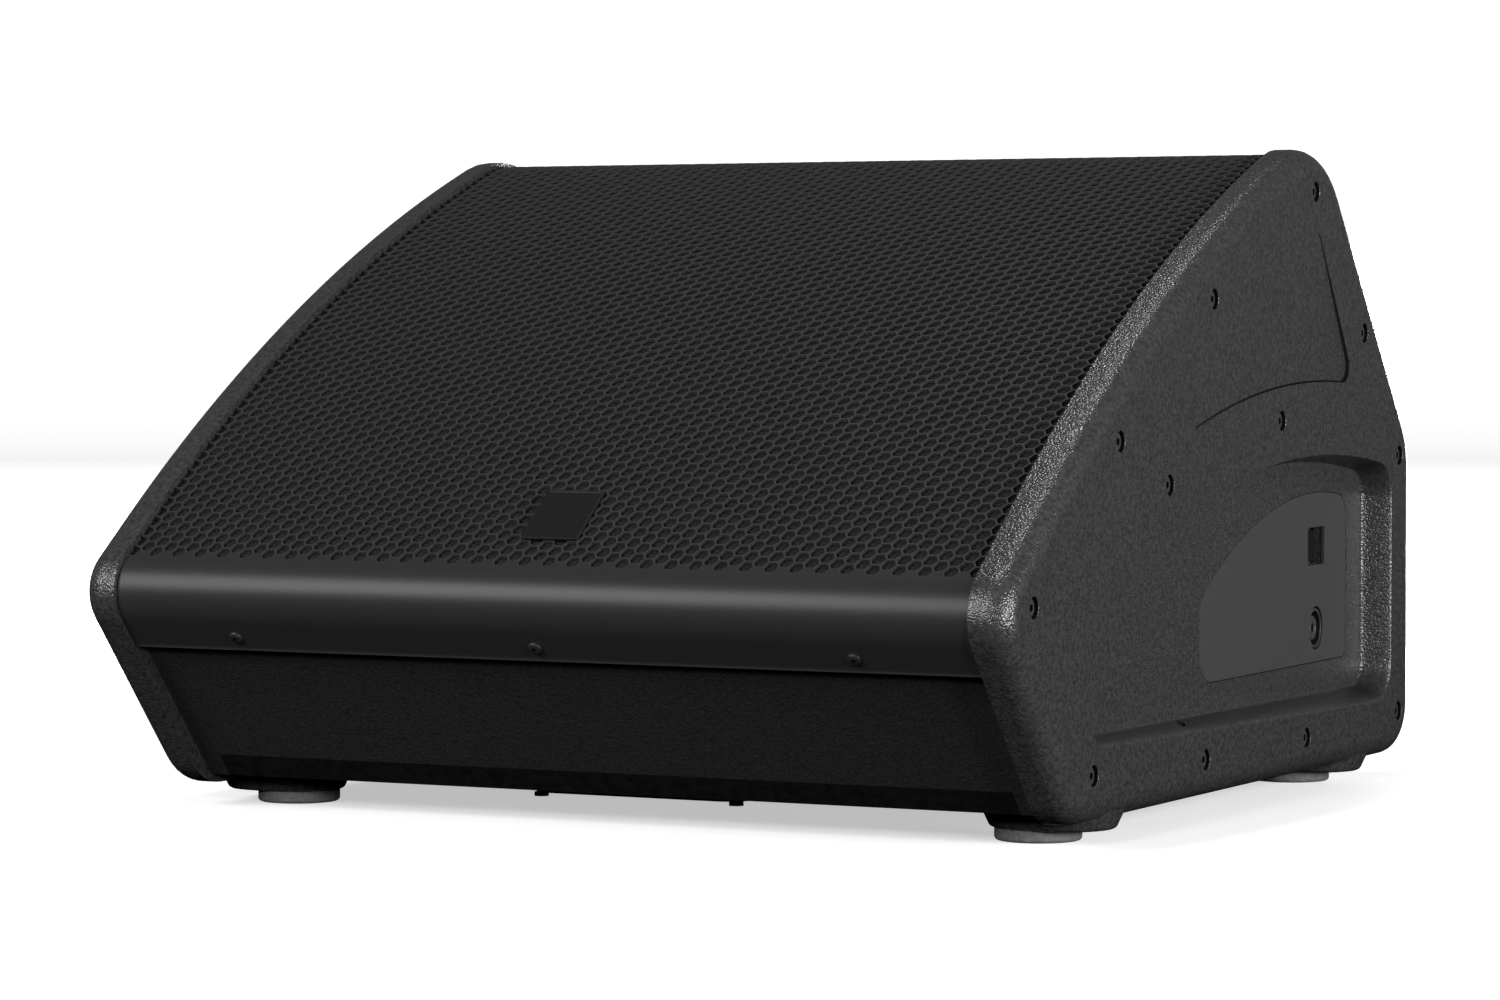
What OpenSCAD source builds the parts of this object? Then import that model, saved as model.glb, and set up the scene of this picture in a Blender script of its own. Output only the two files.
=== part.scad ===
// Stage monitor wedge: a low plywood cabinet between two moulded end cheeks, with a folded
// steel grille over a coaxial loudspeaker. Millimetres. X runs across the cabinet, Y from the
// nose to the back, Z up. The origin is on the floor, in the middle of the footprint.

/* [Outline] */
// Width over the two end cheeks
overall_w = 532; // [500:1:600]
// Y of the rear face
rear_y = 288; // [280:1:300]
// Height of the underside of a cheek above the floor
under_z = 12.5; // [11:0.5:16]
// Height of the corner between the rear face and the rear slope
shoulder_z = 193.4; // [185:0.1:205]
// Y of the sharp crown corner, before rounding
crown_y = 141.4; // [135:0.1:148]
// Height of the sharp crown corner, before rounding
crown_z = 366.4; // [360:0.1:375]
// Y where the tangents of the bowed front meet
knee_y = -94.9; // [-99:0.1:-90]
// Height where the tangents of the bowed front meet
knee_z = 282.7; // [280:0.1:286]
// Y of the sharp nose corner, before rounding
nose_y = -298.9; // [-302:0.1:-294]
// Height of the sharp nose corner, before rounding
nose_z = 123.6; // [120:0.1:128]
// Y of the corner between the lower front and the underside
toe_y = -204.4; // [-212:0.1:-196]
// Radius of the rear bottom corner
heel_r = 30; // [24:1:34]
// Radius of the shoulder corner
shoulder_r = 45; // [30:1:60]
// Radius of the crown
crown_r = 62; // [54:1:63]
// Radius of the bowed front
front_r = 1245; // [1150:5:1245]
// Radius of the nose
nose_r = 25; // [22:1:26]
// Radius of the front bottom corner
toe_r = 35; // [28:1:42]

/* [Cheeks] */
// Thickness of an end cheek
cheek_t = 21.5; // [20:0.5:26]
// Rounding of the outer edge of a cheek
cheek_edge_r = 12.5; // [8:0.5:13]
// Wall of the hollow cheek moulding
cheek_wall = 4; // [3:0.5:5]
// Width of the rim that meets the side panel
cheek_rim = 14; // [13:0.5:16]
// Radius of a screw boss inside a cheek
boss_r = 8; // [7:0.5:9]
// Distance of the screws from the rear face
screw_set_rear = 22.5; // [20:0.5:25]
// Distance of the screws from the underside
screw_set_under = 24.5; // [23:0.5:28]
// Distance of the screws from the lower front
screw_set_toe = 32; // [28:0.5:36]
// Distance of the screws from the bowed front
screw_set_front = 25; // [23:0.5:28]
// Distance of the screws from the rear slope
screw_set_slope = 23; // [21:0.5:28]
// Distance of the crown screw from the rear slope
screw_set_crown = 33; // [28:0.5:36]
// Distance of the two middle screws of the lower edge from the underside
screw_set_low = 20.5; // [20:0.5:26]
// Distance of the middle screw of the rear slope from the sharp shoulder corner
slope_screw_along = 100; // [90:1:120]
// Shares of the way up the bowed front for its two middle screws
front_screws_at = [0.3, 0.63];
// Distance of the two middle screws above the recess arch
arch_screw_gap = 22; // [18:1:26]
// Y of the two middle screws
arch_screws_y = [-84.6, 75.8];
// Radius of the counterbore for a cheek screw
counterbore_r = 5.2; // [5:0.1:6]
// Depth of the counterbore for a cheek screw
counterbore_h = 5; // [4:0.5:6]
// Length of a cheek screw under its head
cheek_screw_l = 26; // [24:1:28]

/* [Connection recess] */
// Y of the front end of the recess
recess_front_y = -191; // [-195:1:-185]
// Distance of the recess from the rear face
recess_set_rear = 35; // [33:1:40]
// Height of the recess sill above the underside of the cheek
recess_sill = 37.5; // [35:0.5:42]
// Height of the top of the recess arch
arch_top_z = 188; // [184:1:190]
// Y of the top of the recess arch
arch_mid_y = 135; // [130:1:140]
// Radius of the recess arch
arch_r = 745; // [720:5:780]
// Depth of the recess at its front end
pan_depth_front = 4; // [3:0.5:5]
// Depth of the recess at its rear end
pan_depth_rear = 16.5; // [14:0.5:17]
// Solid margin around the recess inside the cheek
recess_margin = 4; // [3:0.5:6]
// Width of the connector tray's lip behind the recess edge
pan_lip = 2; // [1.5:0.25:2.5]
// Thickness of that lip
pan_lip_t = 2.5; // [2:0.25:3]
// Diameter of the drain hole in the sill
drain_d = 4; // [3:0.5:5]
// Y of the drain hole
drain_y = -57; // [-70:1:-40]
// Depth of the facet above the recess at its lowest corner
facet_depth = 2; // [1:0.25:2.5]
// Distance of the facet from the recess arch
facet_gap = 40; // [38:1:44]
// Distance of the facet from the rear slope
facet_set = 43; // [40:1:50]

/* [Foot lugs and feet] */
// Distance of each foot's centre from the outer face of its cheek
foot_set = 46; // [42:1:52]
// Y of the front feet
foot_front_y = -147; // [-152:1:-142]
// Y of the rear feet
foot_rear_y = 211; // [205:1:215]
// Radius of a rubber foot
foot_r = 22.3; // [20:0.1:24]
// Height of a rubber foot
foot_h = 6.5; // [5:0.5:8]
// Radius of the oblong lug above a foot
lug_r = 29.5; // [27:0.5:32]
// Reach of the lug from its foot towards the outside
lug_reach = 16; // [8:1:18]
// Inward slope of a lug's sides over its height
lug_draft = 5; // [2:1:6]

/* [Cabinet] */
// Plywood thickness of the cabinet panels
panel_t = 12; // [10:0.5:15]
// Plywood thickness of the baffle
baffle_t = 18; // [15:1:20]
// Depth of the front and rear panels behind the cheek edges
panel_set = 9; // [8:0.5:10]
// Height of the bottom panel above the underside of the cheeks
bottom_set = 5; // [4:0.5:6]
// Depth of the baffle behind the chord of the bowed front
baffle_set = 30; // [28:1:34]
// Thickness of the wadding on the rear slope
wadding_t = 25; // [15:1:30]

/* [Grille] */
// Depth of the grille face behind the cheek edges
grille_set = 2.5; // [2:0.25:3]
// Thickness of the grille sheet
grille_t = 1.5; // [1.2:0.1:2]
// Gap between the grille and each cheek
grille_gap = 0.5; // [0.3:0.1:1]
// Length of the lower flange from the sharp nose corner
grille_toe_l = 44.7; // [43:0.1:50]
// Length of the rear flange from the sharp crown corner
grille_back_l = 75; // [72:1:90]
// Distance of the front screws from the sharp nose corner
grille_screw_toe = 36; // [34:0.5:37]
// Distance of the rear screws from the sharp crown corner
grille_screw_back = 60; // [56:1:64]
// Width of the wooden rails under the grille's flanges
rail_w = 16; // [12:0.5:17]
// Spacing of the grille screws
grille_screw_x = 178; // [160:1:200]
// Width of the badge plate
badge_w = 33; // [25:1:40]
// Height of the badge plate along the slope
badge_h = 38; // [28:1:40]
// Thickness of the badge plate
badge_t = 1.6; // [1:0.1:2]
// Distance of the badge centre from the sharp nose corner
badge_up = 67; // [60:1:80]

/* [Connector plate] */
// Thickness of the connector plate
plate_t = 2; // [1.5:0.25:2.5]
// Gap round the connector plate in its pocket
plate_gap = 0.2; // [0.1:0.05:0.4]
// Distance of the plate from the rear end of the recess
plate_set_rear = 35; // [33:1:40]
// Length of the plate
plate_l = 240; // [230:1:244]
// Height of the plate's lower edge above the recess sill
plate_sill = 21; // [18:1:24]
// Height of the top of the plate's arch above its lower edge
plate_h = 95; // [92:1:98]
// Radius of the plate's arch
plate_arch_r = 375; // [350:5:400]
// Y distance of the sockets from the rear edge of the plate
socket_set = 51; // [48:1:54]
// Height of the socket above the plate's lower edge
socket_up = 19; // [18:0.5:24]
// Radius of the round cut-out for a socket
socket_r = 12; // [11.5:0.1:13]
// Wall of the socket barrel
socket_wall = 1; // [0.8:0.1:1.2]
// Radius of the keyed core in the socket
core_r = 6.8; // [6.2:0.1:7]
// Depth of the core behind the plate face
core_set = 2; // [1.5:0.5:4]
// Radius of the bore in the core
core_bore_r = 2.5; // [2:0.1:3]
// Depth of the socket barrel behind the plate
socket_l = 30; // [28:1:34]
// Floor of the cheek moulding behind the plate
pan_floor = 4; // [3:0.5:5]
// Height of the switch above the plate's lower edge
switch_up = 65; // [62:1:68]
// Width of the switch opening
switch_w = 29; // [26:1:30]
// Height of the switch opening
switch_h = 21; // [19:1:22]
// Width of the switch knob
knob_w = 18; // [14:1:18]
// Travel of the switch knob
switch_travel = 10; // [8:0.5:10]
// Depth of the knob behind the plate face
knob_set = 2.3; // [1.5:0.1:3]

/* [Carry handle] */
// Width of the handle flange
handle_w = 127; // [120:1:140]
// Depth of the handle flange along Y
handle_l = 92; // [88:1:100]
// Thickness of the handle flange
handle_t = 4; // [3:0.5:5]
// Distance of the flange behind the front bottom edge
handle_set = 26; // [22:1:30]
// Depth of the cup inside the flange face
cup_h = 46; // [40:1:48]
// Wall of the cup
cup_wall = 3; // [2.5:0.5:3.5]
// Width of the flange rim round the cup
cup_rim = 11.5; // [11:0.5:14]
// Radius of the grip bar
bar_r = 9; // [8:0.5:10]
// Height of the grip bar above the flange face
bar_up = 18; // [15:1:20]

/* [Loudspeaker] */
// Radius of the basket where it passes the baffle
mouth_r = 170; // [165:1:175]
// Width of the loudspeaker's flange on the baffle
flange_w = 24; // [22:1:26]
// Thickness of the loudspeaker's flange
flange_t = 9; // [8:0.5:10]
// Depth of the basket behind the baffle face
basket_h = 95; // [90:1:100]
// Width of the half roll in the surround
roll_w = 12.7; // [10:0.1:14]
// Depth of the cone
cone_h = 67; // [64:1:70]
// Wall of the cone
cone_t = 1.4; // [1.2:0.1:2]
// Outer radius of the coil former
former_r = 51.4; // [51:0.1:52]
// Excursion of the cone each way
excursion = 6; // [3:0.5:6]
// Radius of the magnet
magnet_r = 95; // [92:1:100]
// Height of the magnet ring
magnet_h = 25; // [20:1:28]
// Thickness of the two steel plates
steel_t = 8; // [6:0.5:10]
// Radius of the throat through the pole
throat_r = 19; // [17:0.5:20]
// Radius of the horn's mouth
horn_r = 58; // [52:1:62]
// Radius of the high-frequency motor
hf_r = 45; // [44:0.5:48]
// Height of the high-frequency motor
hf_h = 32; // [28:1:34]
// Excursion of the high-frequency diaphragm each way
hf_excursion = 0.3; // [0.1:0.1:0.4]

/* [Crossover] */
// Length of the crossover board across the cabinet
board_w = 170; // [150:1:180]
// Depth of the crossover board
board_l = 110; // [105:1:120]
// Thickness of the crossover board
board_t = 1.6; // [1.2:0.2:2]
// Height of the stand-offs
standoff_h = 8; // [6:1:12]
// Distance of the board in front of the rear panel
board_set = 55; // [45:1:60]

/* [Hidden] */
$fn = 64;

// Small fits
slip = 0.1;
clear = 0.3;

half_w = overall_w / 2;
foot_x = half_w - foot_set;
cab_x = half_w - cheek_t;
board_x = cab_x - panel_t;

// Corner list of a cheek, counter-clockwise from the heel: Y, Z and radius
HEEL = 0;
SHOULDER = 1;
CROWN = 2;
KNEE = 3;
NOSE = 4;
TOE = 5;
corners = [
    [rear_y, under_z, heel_r],
    [rear_y, shoulder_z, shoulder_r],
    [crown_y, crown_z, crown_r],
    [knee_y, knee_z, front_r],
    [nose_y, nose_z, nose_r],
    [toe_y, under_z, toe_r]
];

// Plane geometry: points and directions are [Y, Z]
function unit(v) = v / norm(v);
function right_of(d) = [d[1], -d[0]];
function backwards(list) = [for (i = [len(list) - 1 : -1 : 0]) list[i]];
function meet(a, b) =
    let (s = cross(b[0] - a[0], b[1]) / cross(a[1], b[1]))
    a[0] + a[1] * s;
function wrap(i, n) = (i + n) % n;
function flat(c) = [c[0], c[1]];
function edge_dir(list, i) =
    unit(flat(list[wrap(i + 1, len(list))]) - flat(list[wrap(i, len(list))]));

// Line of an edge moved inwards, as a point and a direction
function edge_line(list, i, depth) =
    let (d = edge_dir(list, i))
    [flat(list[wrap(i, len(list))]) - right_of(d) * depth, d];

// Arc that rounds a corner of a counter-clockwise outline, moved inwards
function corner_arc(list, i, depth, steps) =
    let (before = edge_line(list, i - 1, depth), after = edge_line(list, i, depth))
    let (sharp = meet(before, after), r = list[i][2] - depth)
    let (n1 = right_of(before[1]), n2 = right_of(after[1]))
    let (turn = acos(n1 * n2), start = atan2(n1[1], n1[0]))
    let (middle = sharp - unit(n1 + n2) * r / cos(turn / 2))
    [for (k = [0 : steps]) middle + r * [cos(start + turn * k / steps), sin(start + turn * k / steps)]];
function corner_centre(list, i) =
    let (before = edge_line(list, i - 1, 0), after = edge_line(list, i, 0))
    let (n1 = right_of(before[1]), n2 = right_of(after[1]))
    flat(list[i]) - unit(n1 + n2) * list[i][2] / cos(acos(n1 * n2) / 2);
function rounded(list, depth = 0, steps = 8) =
    [for (i = [0 : len(list) - 1]) each corner_arc(list, i, depth, steps)];

// Outline of a cheek, moved inwards
arc_steps = [6, 6, 10, 24, 10, 6];
function cheek_outline(depth) =
    [for (i = [HEEL : TOE]) each corner_arc(corners, i, depth, arc_steps[i])];
function cheek_arc(i, depth) = corner_arc(corners, i, depth, arc_steps[i]);
function edge_point(i, along, depth) =
    let (line = edge_line(corners, i, depth))
    line[0] + line[1] * along;
function edge_len(i) = norm(flat(corners[wrap(i + 1, 6)]) - flat(corners[i]));

// Lines of the cabinet's outer faces, moved further inwards
front_arc = cheek_arc(KNEE, 0);
chord_dir = unit(front_arc[len(front_arc) - 1] - front_arc[0]);
function rear_line(depth) = edge_line(corners, HEEL, panel_set + depth);
function slope_line(depth) = edge_line(corners, SHOULDER, panel_set + depth);
function front_line(depth) = edge_line(corners, NOSE, panel_set + depth);
function bottom_line(depth) = edge_line(corners, TOE, bottom_set + depth);
function baffle_line(depth) =
    [front_arc[0] - right_of(chord_dir) * (baffle_set + depth), chord_dir];
bottom_z = under_z + bottom_set;
floor_z = bottom_z + panel_t;
rear_x = rear_y - panel_set;

// Middle of the baffle face, and the tilt of the loudspeaker's axis
baffle_top = meet(slope_line(0), baffle_line(0));
baffle_low = meet(front_line(0), baffle_line(0));
baffle_mid = (baffle_top + baffle_low) / 2;
baffle_tilt = atan2(-chord_dir[1], -chord_dir[0]);

// Recess outline on a cheek's face
sill_z = under_z + recess_sill;
recess_rear_y = rear_y - recess_set_rear;
arch_mid = [arch_mid_y, arch_top_z - arch_r];
function arch_point(y, r) = [y, arch_mid[1] + sqrt(r * r - pow(y - arch_mid[0], 2))];
function arch_tangent(y, r) =
    let (p = arch_point(y, r))
    [p, unit(right_of(arch_mid - p))];
recess_end = 24;
arch_rear = arch_tangent(recess_rear_y - recess_end, arch_r);
arch_front = arch_tangent(recess_front_y + recess_end - 5, arch_r);
function at_y(line, y) = line[0] + line[1] * ((y - line[0][0]) / line[1][0]);
recess = [
    [recess_front_y + 3, sill_z + 3, 16],
    [recess_rear_y, sill_z - 3, 20],
    concat(at_y(arch_rear, recess_rear_y), recess_end - 2),
    concat(meet(arch_rear, arch_front), arch_r),
    concat(at_y(arch_front, recess_front_y), 15)
];

// Tilted floor of the recess: local x outwards, local y along the floor, local z up
pan_rise = pan_depth_rear - pan_depth_front;
pan_run = recess_rear_y - recess_front_y;
pan_tilt = atan2(pan_rise, pan_run);
pan_len = norm([pan_rise, pan_run]);
plate_rear = pan_len - plate_set_rear;
plate_front = plate_rear - plate_l;
plate_low = sill_z + plate_sill;
socket_y = plate_rear - socket_set;
socket_z = plate_low + socket_up;
switch_z = plate_low + switch_up;
plate_arch_mid = [socket_y, plate_low + plate_h - plate_arch_r];
function plate_arch_tangent(y) =
    let (p = [y, plate_arch_mid[1] + sqrt(pow(plate_arch_r, 2) - pow(y - plate_arch_mid[0], 2))])
    [p, unit(right_of(plate_arch_mid - p))];
plate_arch_rear = plate_arch_tangent(plate_rear - 18);
plate_arch_front = plate_arch_tangent(plate_front + 20);
plate_outline = [
    [plate_front, plate_low, 18],
    [plate_rear, plate_low, 6],
    concat(at_y(plate_arch_rear, plate_rear), 14),
    concat(meet(plate_arch_rear, plate_arch_front), plate_arch_r),
    concat(at_y(plate_arch_front, plate_front), 20)
];
// Surface behind the pan floor that the socket and the switch sit on
seat_x = -plate_t - pan_floor;
socket_flange_r = socket_r + 5;

// Facet above the recess: hinged on the line from its top corner to its front end
facet_r = arch_r + facet_gap;
facet_rear = edge_line(corners, SHOULDER, facet_set);
facet_low = at_y(facet_rear, crown_y + 51);
facet_top = at_y(facet_rear, crown_y - 11);
facet_front = arch_point(-64, facet_r);
facet_dir = unit(facet_top - facet_front);
facet_fall = -cross(facet_dir, facet_low - facet_front);

// Cheek screws: five at the corners, the rest along the edges and over the arch
function screw_corner(i, before, after) =
    meet(edge_line(corners, i - 1, before), edge_line(corners, i, after));
screw_heel = screw_corner(HEEL, screw_set_under, screw_set_rear);
screw_shoulder = screw_corner(SHOULDER, screw_set_rear, screw_set_slope);
screw_crown = screw_corner(CROWN, screw_set_crown, screw_set_front + 2);
screw_nose = screw_corner(NOSE, screw_set_front, screw_set_toe);
screw_toe = screw_corner(TOE, screw_set_toe, screw_set_under);
function between(a, b, share) = a + (b - a) * share;
front_mid = corner_centre(corners, KNEE);
function front_screw(share) =
    let (a = screw_nose - front_mid, b = screw_crown - front_mid)
    let (angle = atan2(a[1], a[0]) + (atan2(b[1], b[0]) - atan2(a[1], a[0])) * share)
    front_mid + (front_r - screw_set_front) * [cos(angle), sin(angle)];
cheek_screws = concat(
    [screw_heel, screw_shoulder, screw_crown, screw_nose, screw_toe],
    [for (share = [1 / 3, 2 / 3]) [between(screw_toe, screw_heel, share)[0], under_z + screw_set_low]],
    [edge_point(SHOULDER, slope_screw_along, screw_set_slope)],
    [for (share = front_screws_at) front_screw(share)],
    [for (y = arch_screws_y) arch_point(y, arch_r + arch_screw_gap)]
);
screw_shank_r = 2.5;
grille_screw_r = 1.8;
grille_screw_l = 18;
handle_screw_r = 2;
board_screw_r = 1.5;

// Recessed handle under the front edge
bottom_front = meet(front_line(0), bottom_line(0));
handle_y = bottom_front[0] + handle_set + handle_l / 2;
handle_face_z = bottom_z - handle_t;
cup_w = handle_w - 2 * cup_rim;
cup_l = handle_l - 2 * cup_rim;
function box_outline(w, l, r) = [
    [-w / 2, -l / 2, r], [w / 2, -l / 2, r], [w / 2, l / 2, r], [-w / 2, l / 2, r]
];

// Loudspeaker stations along its axis, measured from the baffle face
plate_low_z = -basket_h - steel_t;
magnet_low_z = plate_low_z - magnet_h;
yoke_low_z = magnet_low_z - steel_t;
hf_low_z = yoke_low_z - hf_h;
flange_r = mouth_r + flange_w;
ledge_w = 10;
ledge_z = flange_t - 4;
rim_t = 1.2;
ledge_r = mouth_r - ledge_w;
recess_edge_r = mouth_r + 4;
roll_land = 3;
roll_out = ledge_r + 2;
roll_in = roll_out - roll_w;
cone_r = roll_in - roll_land - clear;
spider_z = -basket_h + 15;
spider_r = former_r + 34;
former_t = 0.8;
winding_t = 1.2;
pole_r = former_r - former_t - 1.6;
gap_r = former_r + winding_t + 1.4;
cone_low_z = ledge_z - cone_h;
bolt_circle = (flange_r + recess_edge_r) / 2;
bolt_r = 3;
bolts = 8;

// Terminal block on the upper rib of the basket
terminal_r = spider_r + 46;
terminal_w = 16;
terminal_z = (spider_z - 40) / 2;

// Crossover board on the bottom panel
board_rear = rear_x - panel_t - board_set;
board_mid_y = board_rear - board_l / 2;
board_z = floor_z + standoff_h;
part_z = board_z + board_t;
big_coil_r = 30;
big_coil_bore = 14;
big_coil_h = 28;
small_coil_r = 20;
small_coil_bore = 9;
small_coil_h = 20;
capacitor_r = [8, 9.5, 8];
capacitor_l = 30;
capacitor_pitch = 24;
capacitor_y = board_mid_y - board_l / 2 + 18;
resistor_l = 36;
resistor_w = 9;
resistor_pitch = 16;
resistor_x = -8;
resistor_y = board_mid_y - board_l / 2 + 10;

// Internal leads: from each socket, from the basket's terminal block and from the
// high-frequency cover to the top of the crossover board
lead_r = 2.5;
socket_lead_end = [79, 157];
socket_lead_way = [[150, 165, 80], [100, 160, 62], concat(socket_lead_end, 56)];
low_lead_end = [-8, 200];
low_lead_way = [[0, 150, 210], [-8, 195, 100], concat(low_lead_end, 56)];
high_lead_end = [-16, 107];
high_lead_way = [[-10, 60, 46], concat(high_lead_end, 56)];
function pan_place(p) = [
    half_w - pan_depth_front + p[0] * cos(pan_tilt) - p[1] * sin(pan_tilt),
    recess_front_y + p[0] * sin(pan_tilt) + p[1] * cos(pan_tilt),
    p[2]
];
function baffle_place(p) = [
    p[0],
    baffle_mid[0] + p[1] * cos(baffle_tilt) - p[2] * sin(baffle_tilt),
    baffle_mid[1] + p[1] * sin(baffle_tilt) + p[2] * cos(baffle_tilt)
];

foot_places = [
    [-foot_x, foot_front_y], [foot_x, foot_front_y], [-foot_x, foot_rear_y], [foot_x, foot_rear_y]
];

// Placing
module along_x(x0, x1) {
    translate([x0, 0, 0])
        rotate([90, 0, 90])
            linear_extrude(x1 - x0)
                children();
}
module across(points) {
    along_x(-board_x, board_x)
        polygon(points);
}
module sided(side) {
    if (side > 0) children();
    else mirror([1, 0, 0]) children();
}
module on_baffle() {
    translate([0, baffle_mid[0], baffle_mid[1]])
        rotate([baffle_tilt, 0, 0])
            children();
}
module on_pan() {
    translate([half_w - pan_depth_front, recess_front_y, 0])
        rotate([0, 0, pan_tilt])
            children();
}
// Local z points out of an edge of the cheek outline
module on_edge(i, along, depth, x) {
    p = edge_point(i, along, depth);
    n = right_of(edge_dir(corners, i));
    translate([x, p[0], p[1]])
        rotate([atan2(-n[0], n[1]), 0, 0])
            children();
}
module tube(r, inner, h) {
    difference() {
        cylinder(r = r, h = h);
        translate([0, 0, -1])
            cylinder(r = inner, h = h + 2);
    }
}
// Screw with its head above z = 0 and a hexagon socket
module socket_screw(head_r, head_h, shank_r, length) {
    difference() {
        union() {
            cylinder(r = head_r, h = head_h);
            translate([0, 0, -length])
                cylinder(r = shank_r, h = length + 0.01);
        }
        translate([0, 0, head_h * 0.4])
            cylinder(r = head_r * 0.55, h = head_h, $fn = 6);
    }
}

// Plywood cabinet
module bottom_panel() {
    color([0.11, 0.11, 0.11])
        difference() {
            across([
                bottom_front,
                meet(rear_line(0), bottom_line(0)),
                meet(rear_line(0), bottom_line(panel_t)),
                meet(front_line(0), bottom_line(panel_t))
            ]);
            translate([0, handle_y, bottom_z - 1])
                linear_extrude(panel_t + 2)
                    polygon(rounded(box_outline(cup_w + clear * 2, cup_l + clear * 2, 12)));
            for (p = foot_places)
                translate([p[0], p[1], bottom_z - 1])
                    cylinder(r = screw_shank_r + slip, h = panel_t + 2);
            handle_screw_places(bottom_z - 1)
                cylinder(r = handle_screw_r + slip, h = panel_t + 2);
            crossover_places()
                translate([0, 0, floor_z - panel_t / 2])
                    cylinder(r = board_screw_r + slip, h = panel_t);
        }
}
module front_panel() {
    color([0.11, 0.11, 0.11])
        difference() {
            across([
                baffle_low,
                meet(front_line(0), bottom_line(panel_t)),
                meet(front_line(panel_t), bottom_line(panel_t)),
                meet(front_line(panel_t), baffle_line(baffle_t))
            ]);
            grille_screw_places(true)
                translate([0, 0, -grille_screw_l - 1])
                    cylinder(r = grille_screw_r + slip, h = grille_screw_l);
        }
}
module baffle() {
    color([0.1, 0.1, 0.1])
        difference() {
            across([
                baffle_top,
                baffle_low,
                meet(front_line(panel_t), baffle_line(baffle_t)),
                meet(slope_line(panel_t), baffle_line(baffle_t))
            ]);
            on_baffle()
                translate([0, 0, -baffle_t - 1])
                    cylinder(r = mouth_r + 1.5, h = baffle_t + 2, $fn = 128);
            on_baffle()
                bolt_places()
                    translate([0, 0, -baffle_t - 1])
                        cylinder(r = bolt_r + slip, h = baffle_t + 2);
            for (front = [true, false])
                grille_screw_places(front)
                    translate([0, 0, -grille_screw_l - 1])
                        cylinder(r = grille_screw_r + slip, h = grille_screw_l);
        }
}
module rear_slope_panel() {
    color([0.11, 0.11, 0.11])
        difference() {
            across([
                meet(rear_line(0), slope_line(0)),
                baffle_top,
                meet(slope_line(panel_t), baffle_line(baffle_t)),
                meet(rear_line(panel_t), slope_line(panel_t))
            ]);
            grille_screw_places(false)
                translate([0, 0, -grille_screw_l - 1])
                    cylinder(r = grille_screw_r + slip, h = grille_screw_l);
        }
}
module rear_panel() {
    color([0.11, 0.11, 0.11])
        across([
            meet(rear_line(0), bottom_line(panel_t)),
            meet(rear_line(0), slope_line(0)),
            meet(rear_line(panel_t), slope_line(panel_t)),
            meet(rear_line(panel_t), bottom_line(panel_t))
        ]);
}
module side_panel(side) {
    color([0.1, 0.1, 0.1])
        sided(side)
            difference() {
                along_x(board_x, cab_x)
                    polygon(concat(
                        [bottom_front, meet(rear_line(0), bottom_line(0)), meet(rear_line(0), slope_line(0))],
                        cheek_arc(CROWN, panel_set),
                        cheek_arc(KNEE, panel_set),
                        cheek_arc(NOSE, panel_set)
                    ));
                for (p = cheek_screws)
                    translate([board_x - 1, p[0], p[1]])
                        rotate([0, 90, 0])
                            cylinder(r = screw_shank_r + slip, h = panel_t + 2);
                on_pan()
                    connector_pocket(-60);
            }
}
module side_panel_left() { side_panel(-1); }
module side_panel_right() { side_panel(1); }
module damping_wadding() {
    lap = panel_t * 2;
    color([0.75, 0.74, 0.7])
        along_x(-board_x + lap, board_x - lap)
            polygon([
                edge_point(SHOULDER, lap * 2, panel_set + panel_t),
                edge_point(SHOULDER, edge_len(SHOULDER) - lap * 4, panel_set + panel_t),
                edge_point(SHOULDER, edge_len(SHOULDER) - lap * 4, panel_set + panel_t + wadding_t),
                edge_point(SHOULDER, lap * 2, panel_set + panel_t + wadding_t)
            ]);
}

// Moulded end cheeks
module cheek_body() {
    round_steps = 6;
    function ring(k) =
        let (a = 90 * k / round_steps)
        let (x = half_w - cheek_edge_r * (1 - sin(a)))
        [for (p = cheek_outline(cheek_edge_r * (1 - cos(a)))) [x, p[0], p[1]]];
    base = [for (p = cheek_outline(0)) [cab_x, p[0], p[1]]];
    n = len(base);
    rings = round_steps + 2;
    points = concat(base, [for (k = [0 : round_steps]) each ring(k)]);
    sides = [for (j = [0 : rings - 2]) for (i = [0 : n - 1])
        [j * n + i, (j + 1) * n + i, (j + 1) * n + wrap(i + 1, n), j * n + wrap(i + 1, n)]];
    caps = [[for (i = [0 : n - 1]) i], [for (i = [n - 1 : -1 : 0]) (rings - 1) * n + i]];
    polyhedron(points, concat(sides, caps));
}
module lug(y) {
    module pad(inset) {
        for (x = [foot_x, foot_x + lug_reach])
            translate([x, y, 0])
                cylinder(r = lug_r - inset, h = 0.01, $fn = 48);
    }
    hull() {
        translate([0, 0, foot_h])
            pad(lug_draft);
        translate([0, 0, bottom_z - 0.01])
            pad(0);
    }
}
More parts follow.
